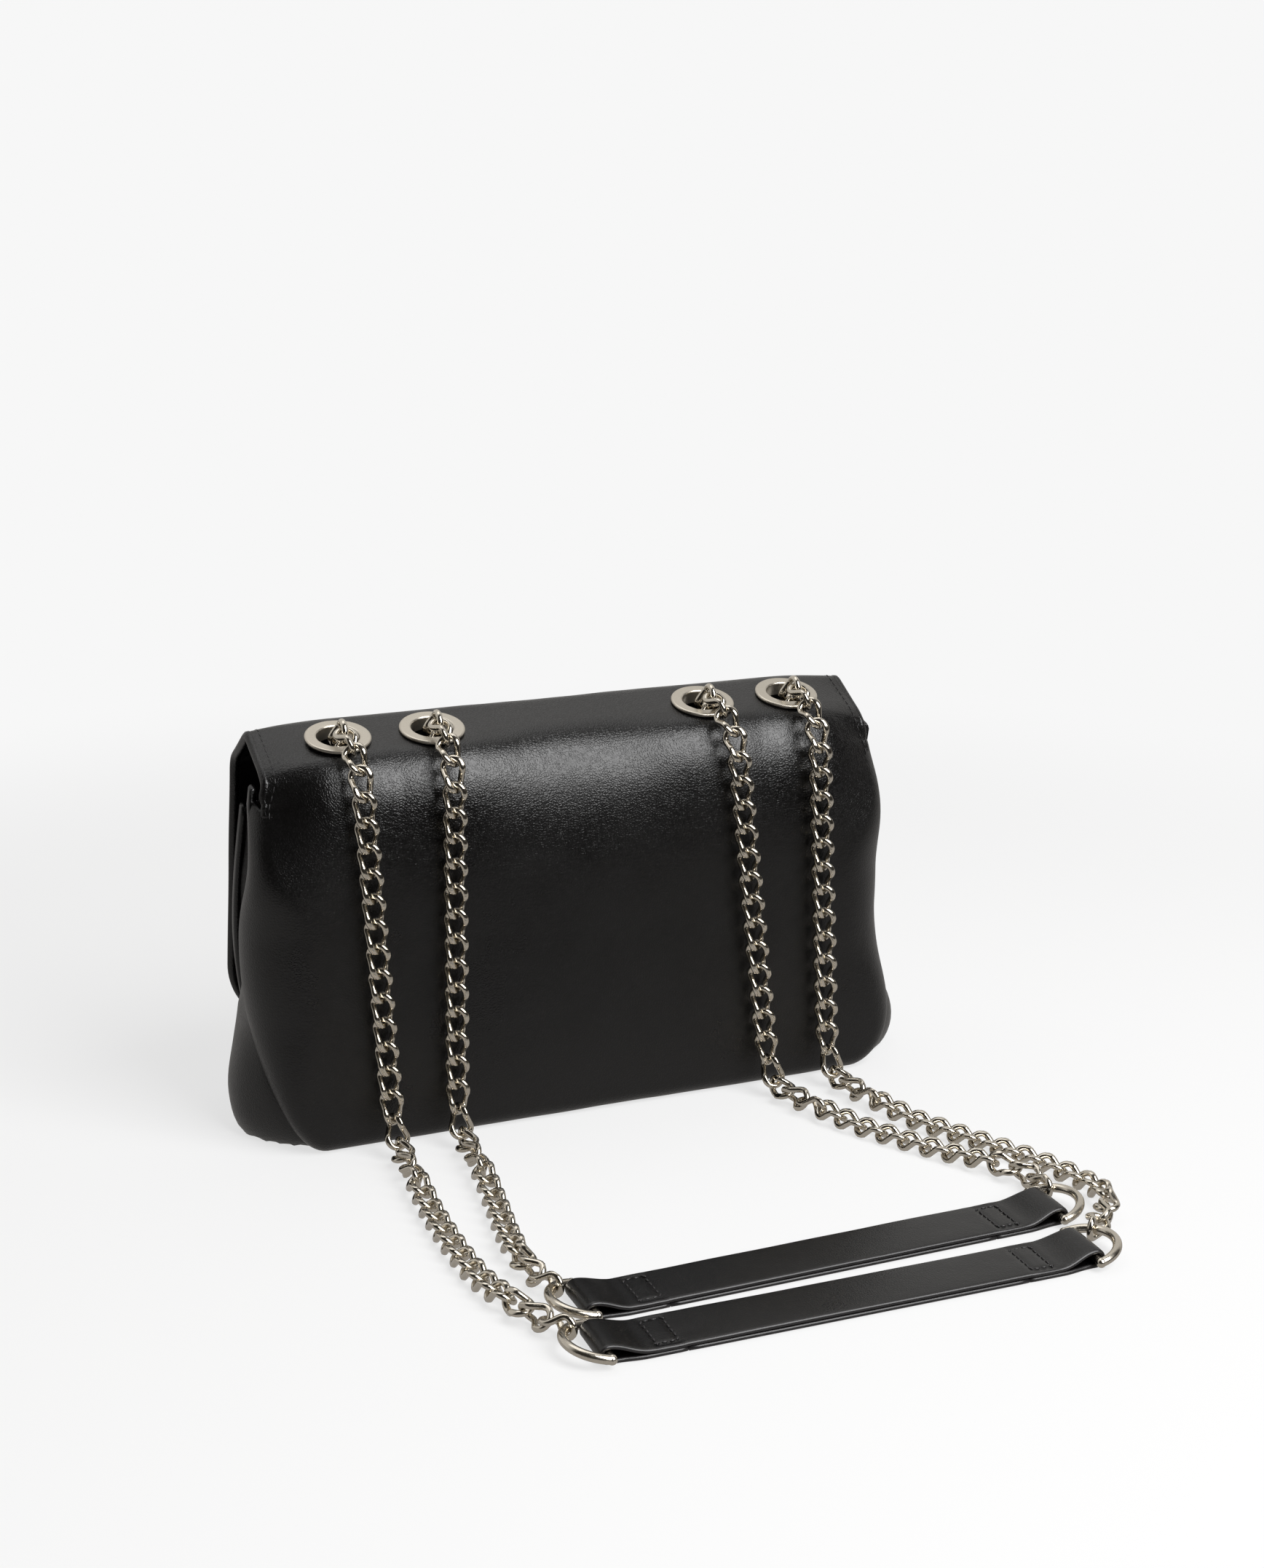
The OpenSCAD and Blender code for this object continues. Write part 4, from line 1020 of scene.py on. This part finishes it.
def strapPath():
    # Outer face of one end, from the turned end under the bar to the middle of the strap
    under = [(x, strap["seat"]) for x in np.linspace(strap["turned"], 0, 16)]
    bend = [(-loopOut * math.sin(a), barHeight - loopOut * math.cos(a))
            for a in np.linspace(0, math.pi, 15)[1:]]
    high = barHeight + loopOut
    low = lapHeight + strap["thickness"]
    fall = [(x, high - (high - low) * ease(x / strap["fall"]))
            for x in np.linspace(0, strap["fall"], 14)[1:]]
    level = [(x, low) for x in np.linspace(strap["fall"], strap["length"] / 2, 80)[1:]]
    return under + bend + fall + level


def acrossStrap(path):
    # A row of points across the strap at each [x, z] of the path
    ys = np.linspace(-0.5, 0.5, strap["across"]) * (strap["width"] - strap["thickness"])
    return np.array([(x, y, z) for x, z in path for y in ys])


def strapPiece(name, place, flat):
    rows = len(flat) // strap["across"]
    index = np.arange(len(flat)).reshape(rows, strap["across"])
    points, faces = strapPlace(place, flat), gridFaces(index)
    if sheetNormals(points, faces)[index[rows // 2, strap["across"] // 2]][2] < 0:
        faces = turned(faces)
    piece = closeSheet(name, points, faces, strap["thickness"], [0] * len(faces),
                       [strapLeather, edgePaint], rimSlot=1)
    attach(piece, "shoulder_strap")
    return piece


def strapSheet(name, place, seed):
    # The upper layer is fuller than the ring, crowned, and pressed in along its stitches.
    end = np.array(strapPath())
    flat = acrossStrap(np.vstack([end, (end[:-1] * (-1, 1) + (strap["length"], 0))[::-1]]))
    onTop = flat[:, 2] > stitchHeight
    fromEnd = np.minimum(flat[:, 0], strap["length"] - flat[:, 0])
    aside = (np.abs(fromEnd - (strap["stitchFrom"] + strap["stitchTo"]) / 2)
             - (strap["stitchTo"] - strap["stitchFrom"]) / 2)
    fromLine = np.abs(np.maximum(aside, np.abs(flat[:, 1]) - strap["stitchWidth"] / 2))
    groove = strap["groove"] * np.exp(-(fromLine / strap["grooveWidth"]) ** 2)
    edge = np.abs(flat[:, 1]) / ((strap["width"] - strap["thickness"]) / 2)
    loose = strap["wave"] * wobble(flat, strap["waveSize"], seed)
    nearEnd = ease((strap["puckerTo"] - fromEnd) / strap["puckerOver"])
    loose += strap["pucker"] * wobble(flat, strap["puckerSize"], seed + 9) * nearEnd
    loose *= ease((fromEnd - strap["looseFrom"]) / strap["easeOver"])
    flat[:, 2] += np.where(onTop, strap["crown"] * (1 - edge ** 4) + loose - groove, 0)
    flat[:, 1] *= 1 + strap["fuller"] * ease((fromEnd - strap["fullFrom"]) / strap["easeOver"])
    return strapPiece(name, place, flat)


def backingSheet(name, place):
    start = strap["turned"] + strap["backingGap"]
    level = strap["seat"] + strap["thickness"]
    path = [(x, level) for x in np.linspace(start, strap["length"] - start, strap["backingRows"])]
    return strapPiece(name, place, acrossStrap(path) * (1, 1 + strap["fuller"], 1))


for seed, (which, place) in enumerate(strap["places"].items()):
    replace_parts(strapSheet(f"strap_{which}_skin", place, 5 + seed), f"strap_{which}")
    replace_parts(backingSheet(f"strap_{which}_lower", place), f"strap_{which}_backing")
print("straps made")


# Stitches: a bead of thread on every point of a line, laid along it

edgeStitch = {"Pitch": 3.0, "Length": 2.4, "Thickness": 0.42}
strapStitch = {"Pitch": 2.5, "Length": 2.0, "Thickness": 0.75}


def stitchTree():
    tree, given = newTree("stitches", {
        "Pitch": "NodeSocketFloat", "Length": "NodeSocketFloat", "Thickness": "NodeSocketFloat",
        "Material": "NodeSocketMaterial"})
    line = addNode(tree, "GeometryNodeMeshToCurve", {"Mesh": given["Geometry"]})
    even = addNode(tree, "GeometryNodeResampleCurve", {"Curve": line.outputs[0], "Length": given["Pitch"]},
                   mode="LENGTH")
    way = addNode(tree, "GeometryNodeInputTangent")
    turn = addNode(tree, "FunctionNodeAlignRotationToVector", {"Vector": way.outputs[0]}, axis="X")
    bead = addNode(tree, "GeometryNodeMeshUVSphere", {"Segments": 8, "Rings": 6, "Radius": 0.5})
    size = addNode(tree, "ShaderNodeCombineXYZ", {
        "X": given["Length"], "Y": given["Thickness"], "Z": given["Thickness"]})
    rows = addNode(tree, "GeometryNodeInstanceOnPoints", {
        "Points": even.outputs[0], "Instance": bead.outputs["Mesh"], "Rotation": turn.outputs[0],
        "Scale": size.outputs[0]})
    return finishTree(tree, rows.outputs[0], given["Material"])


stitchNodes = stitchTree()


def stitchLines(name, lines, sizes):
    points, edges = [], []
    for line in lines:
        start = len(points)
        points += [tuple(np.asarray(p) * mm) for p in line]
        edges += [(start + i, start + i + 1) for i in range(len(line) - 1)]
    mesh = bpy.data.meshes.new(name)
    mesh.from_pydata(points, edges, [])
    return growObject(name, addObject(name + "_line", mesh), stitchNodes, {
        **{label: size * mm for label, size in sizes.items()}, "Material": thread})


def strapStitches(place):
    # One box at each end of the strap
    half = strap["stitchWidth"] / 2
    near, far = strap["stitchFrom"], strap["stitchTo"]
    box = [(x, y, stitchHeight) for x, y in (
        (near, -half), (far, -half), (far, half), (near, half), (near, -half))]
    return [strapPlace(place, box), strapPlace(place, [(strap["length"] - x, y, z) for x, y, z in box])]


edgeStitches = stitchLines("edge_stitches", [seamLine], edgeStitch)
strapLines = [line for place in strap["places"].values() for line in strapStitches(place)]
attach(stitchLines("strap_stitches", strapLines, strapStitch), "shoulder_strap")
print("stitches made")


# Chains: every link stands where the part's own link stands. Its place is read from the frame.

link = {"wire": 2.2, "width": 9.5, "pitch": 9.0, "slack": 0.4, "turn": 36, "flat": 2.6, "straight": 0.35,
        "sides": 12, "around": 36}


def linkCentreline():
    radius = (link["width"] - link["wire"]) / 2
    reach = (link["pitch"] + link["slack"] + link["wire"]) / 2 - radius
    tilt = math.radians(link["turn"])
    control = []
    for end, lean in ((1, -tilt), (-1, tilt)):
        for a in np.linspace(-math.pi / 2, math.pi / 2, 7):
            y, x = radius * math.sin(a) * end, end * (reach + radius * math.cos(a))
            control.append((x, y * math.cos(lean), y * math.sin(lean)))
        # The straight side between this half loop and the next leaves out its ends.
        last = np.array(control[-1])
        control += [tuple(last * (share, 1, share)) for share in (link["straight"], -link["straight"])]
    control = np.array(control)
    count = len(control)
    line = []
    for k in range(link["around"]):
        at = k * count / link["around"]
        i, t = int(at), at - int(at)
        weights = ((1 - t) ** 3, 3 * t ** 3 - 6 * t ** 2 + 4, -3 * t ** 3 + 3 * t ** 2 + 3 * t + 1, t ** 3)
        line.append(sum(w * control[(i + n - 1) % count] for n, w in enumerate(weights)) / 6)
    return np.array(line)


def linkTree():
    # A round wire along the centre line, pressed flat, on every point
    tree, given = newTree("chain links", {
        "Centreline": "NodeSocketObject", "Wire": "NodeSocketFloat", "Sides": "NodeSocketInt",
        "Flat": "NodeSocketFloat", "Material": "NodeSocketMaterial"})
    shape = addNode(tree, "GeometryNodeObjectInfo", {"Object": given["Centreline"]})
    line = addNode(tree, "GeometryNodeMeshToCurve", {"Mesh": shape.outputs["Geometry"]})
    radius = addNode(tree, "ShaderNodeMath", {0: given["Wire"], 1: 0.5}, operation="MULTIPLY")
    wire = addNode(tree, "GeometryNodeCurvePrimitiveCircle", {
        "Resolution": given["Sides"], "Radius": radius.outputs[0]})
    tube = addNode(tree, "GeometryNodeCurveToMesh", {
        "Curve": line.outputs[0], "Profile Curve": wire.outputs[0]})
    position = addNode(tree, "GeometryNodeInputPosition")
    place = addNode(tree, "ShaderNodeSeparateXYZ", {"Vector": position.outputs[0]})
    below = addNode(tree, "ShaderNodeMath", {0: given["Flat"], 1: -1.0}, operation="MULTIPLY")
    cut = addNode(tree, "ShaderNodeClamp", {
        "Value": place.outputs["Z"], "Min": below.outputs[0], "Max": given["Flat"]})
    level = addNode(tree, "ShaderNodeCombineXYZ", {
        "X": place.outputs["X"], "Y": place.outputs["Y"], "Z": cut.outputs[0]})
    pressed = addNode(tree, "GeometryNodeSetPosition", {
        "Geometry": tube.outputs[0], "Position": level.outputs[0]})
    turn = addNode(tree, "GeometryNodeInputNamedAttribute", {"Name": "turn"}, data_type="FLOAT_VECTOR")
    rotation = addNode(tree, "FunctionNodeEulerToRotation", {"Euler": turn.outputs["Attribute"]})
    links = addNode(tree, "GeometryNodeInstanceOnPoints", {
        "Points": given["Geometry"], "Instance": pressed.outputs[0], "Rotation": rotation.outputs[0]})
    return finishTree(tree, links.outputs[0], given["Material"])


def linkPlaces(node):
    # Middle and turn of each loose part of a CAD node, from the moments of its surface
    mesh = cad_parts[node].data
    mesh.calc_loop_triangles()
    corners = np.empty(len(mesh.vertices) * 3)
    mesh.vertices.foreach_get("co", corners)
    triangles = np.empty(len(mesh.loop_triangles) * 3, int)
    mesh.loop_triangles.foreach_get("vertices", triangles)
    welded, which = np.unique(np.round(corners.reshape(-1, 3) * 1e6).astype(int), axis=0, return_inverse=True)
    triangles = which.ravel()[triangles].reshape(-1, 3)
    label = np.arange(len(welded))
    while True:
        lowest = label[triangles].min(1)
        fresh = label.copy()
        np.minimum.at(fresh, triangles.ravel(), np.repeat(lowest, 3))
        fresh = fresh[fresh]
        if (fresh == label).all():
            break
        label = fresh
    places = []
    spots = welded / 1e6
    owner = label[triangles[:, 0]]
    for part in np.unique(owner):
        a, b, c = (spots[triangles[owner == part, i]] for i in range(3))
        area = np.linalg.norm(np.cross(b - a, c - a), axis=1)
        middle = ((a + b + c) * area[:, None]).sum(0) / 3 / area.sum()
        a, b, c = a - middle, b - middle, c - middle
        moments = sum((p * area[:, None]).T @ p for p in (a, b, c, a + b + c))
        ways = np.linalg.eigh(moments)[1][:, ::-1]
        ways[:, 2] = np.cross(ways[:, 0], ways[:, 1])
        places.append((middle, Matrix(ways.tolist()).to_euler()))
    return places


linkMesh = bpy.data.meshes.new("link_centreline")
linkLine = linkCentreline()
linkEdges = [(i, (i + 1) % link["around"]) for i in range(link["around"])]
linkMesh.from_pydata((linkLine * mm).tolist(), linkEdges, [])
linkShape = addObject("link_centreline", linkMesh)
linkNodes = linkTree()
positions = ["left_outer", "left_inner", "right_inner", "right_outer"]
chains = {
    "chain_inside_links": ("bag", ["chain_inside_left", "chain_inside_right"]),
    "chain_hanging_links": ("hanging_chain", [f"chain_hang_{p}" for p in positions]),
    "chain_floor_links": ("shoulder_strap", [f"chain_floor_{p}" for p in positions]),
}
for name, (body, nodes) in chains.items():
    places = [place for node in nodes for place in linkPlaces(node)]
    mesh = bpy.data.meshes.new(name)
    mesh.from_pydata([tuple(middle) for middle, turn in places], [], [])
    turns = mesh.attributes.new("turn", "FLOAT_VECTOR", "POINT")
    turns.data.foreach_set("vector", [value for middle, turn in places for value in turn])
    links = growObject(name, addObject(name + "_points", mesh), linkNodes, {
        "Centreline": linkShape, "Wire": link["wire"] * mm, "Sides": link["sides"], "Flat": link["flat"] * mm,
        "Material": chainNickel})
    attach(links, body)
    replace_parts(links, *nodes)
    print(name, len(places), "links")
bpy.data.objects.remove(linkShape)

# The metal parts and the hidden base board keep the frame's own shapes.

keptFinishes = {"eyelet": eyeletNickel, "washer": eyeletNickel, "ring": ringNickel, "snap": eyeletNickel,
                "base_board": lining}
for name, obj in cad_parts.items():
    for start, material in keptFinishes.items():
        if name.startswith(start):
            for materialSlot in obj.material_slots:
                materialSlot.link = "OBJECT"
                materialSlot.material = material
print("metal parts finished")

# The skin, its edge roll and its stitches get their placing baked into their meshes.
for piece in (skin, edgeRoll, edgeStitches):
    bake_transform(piece)
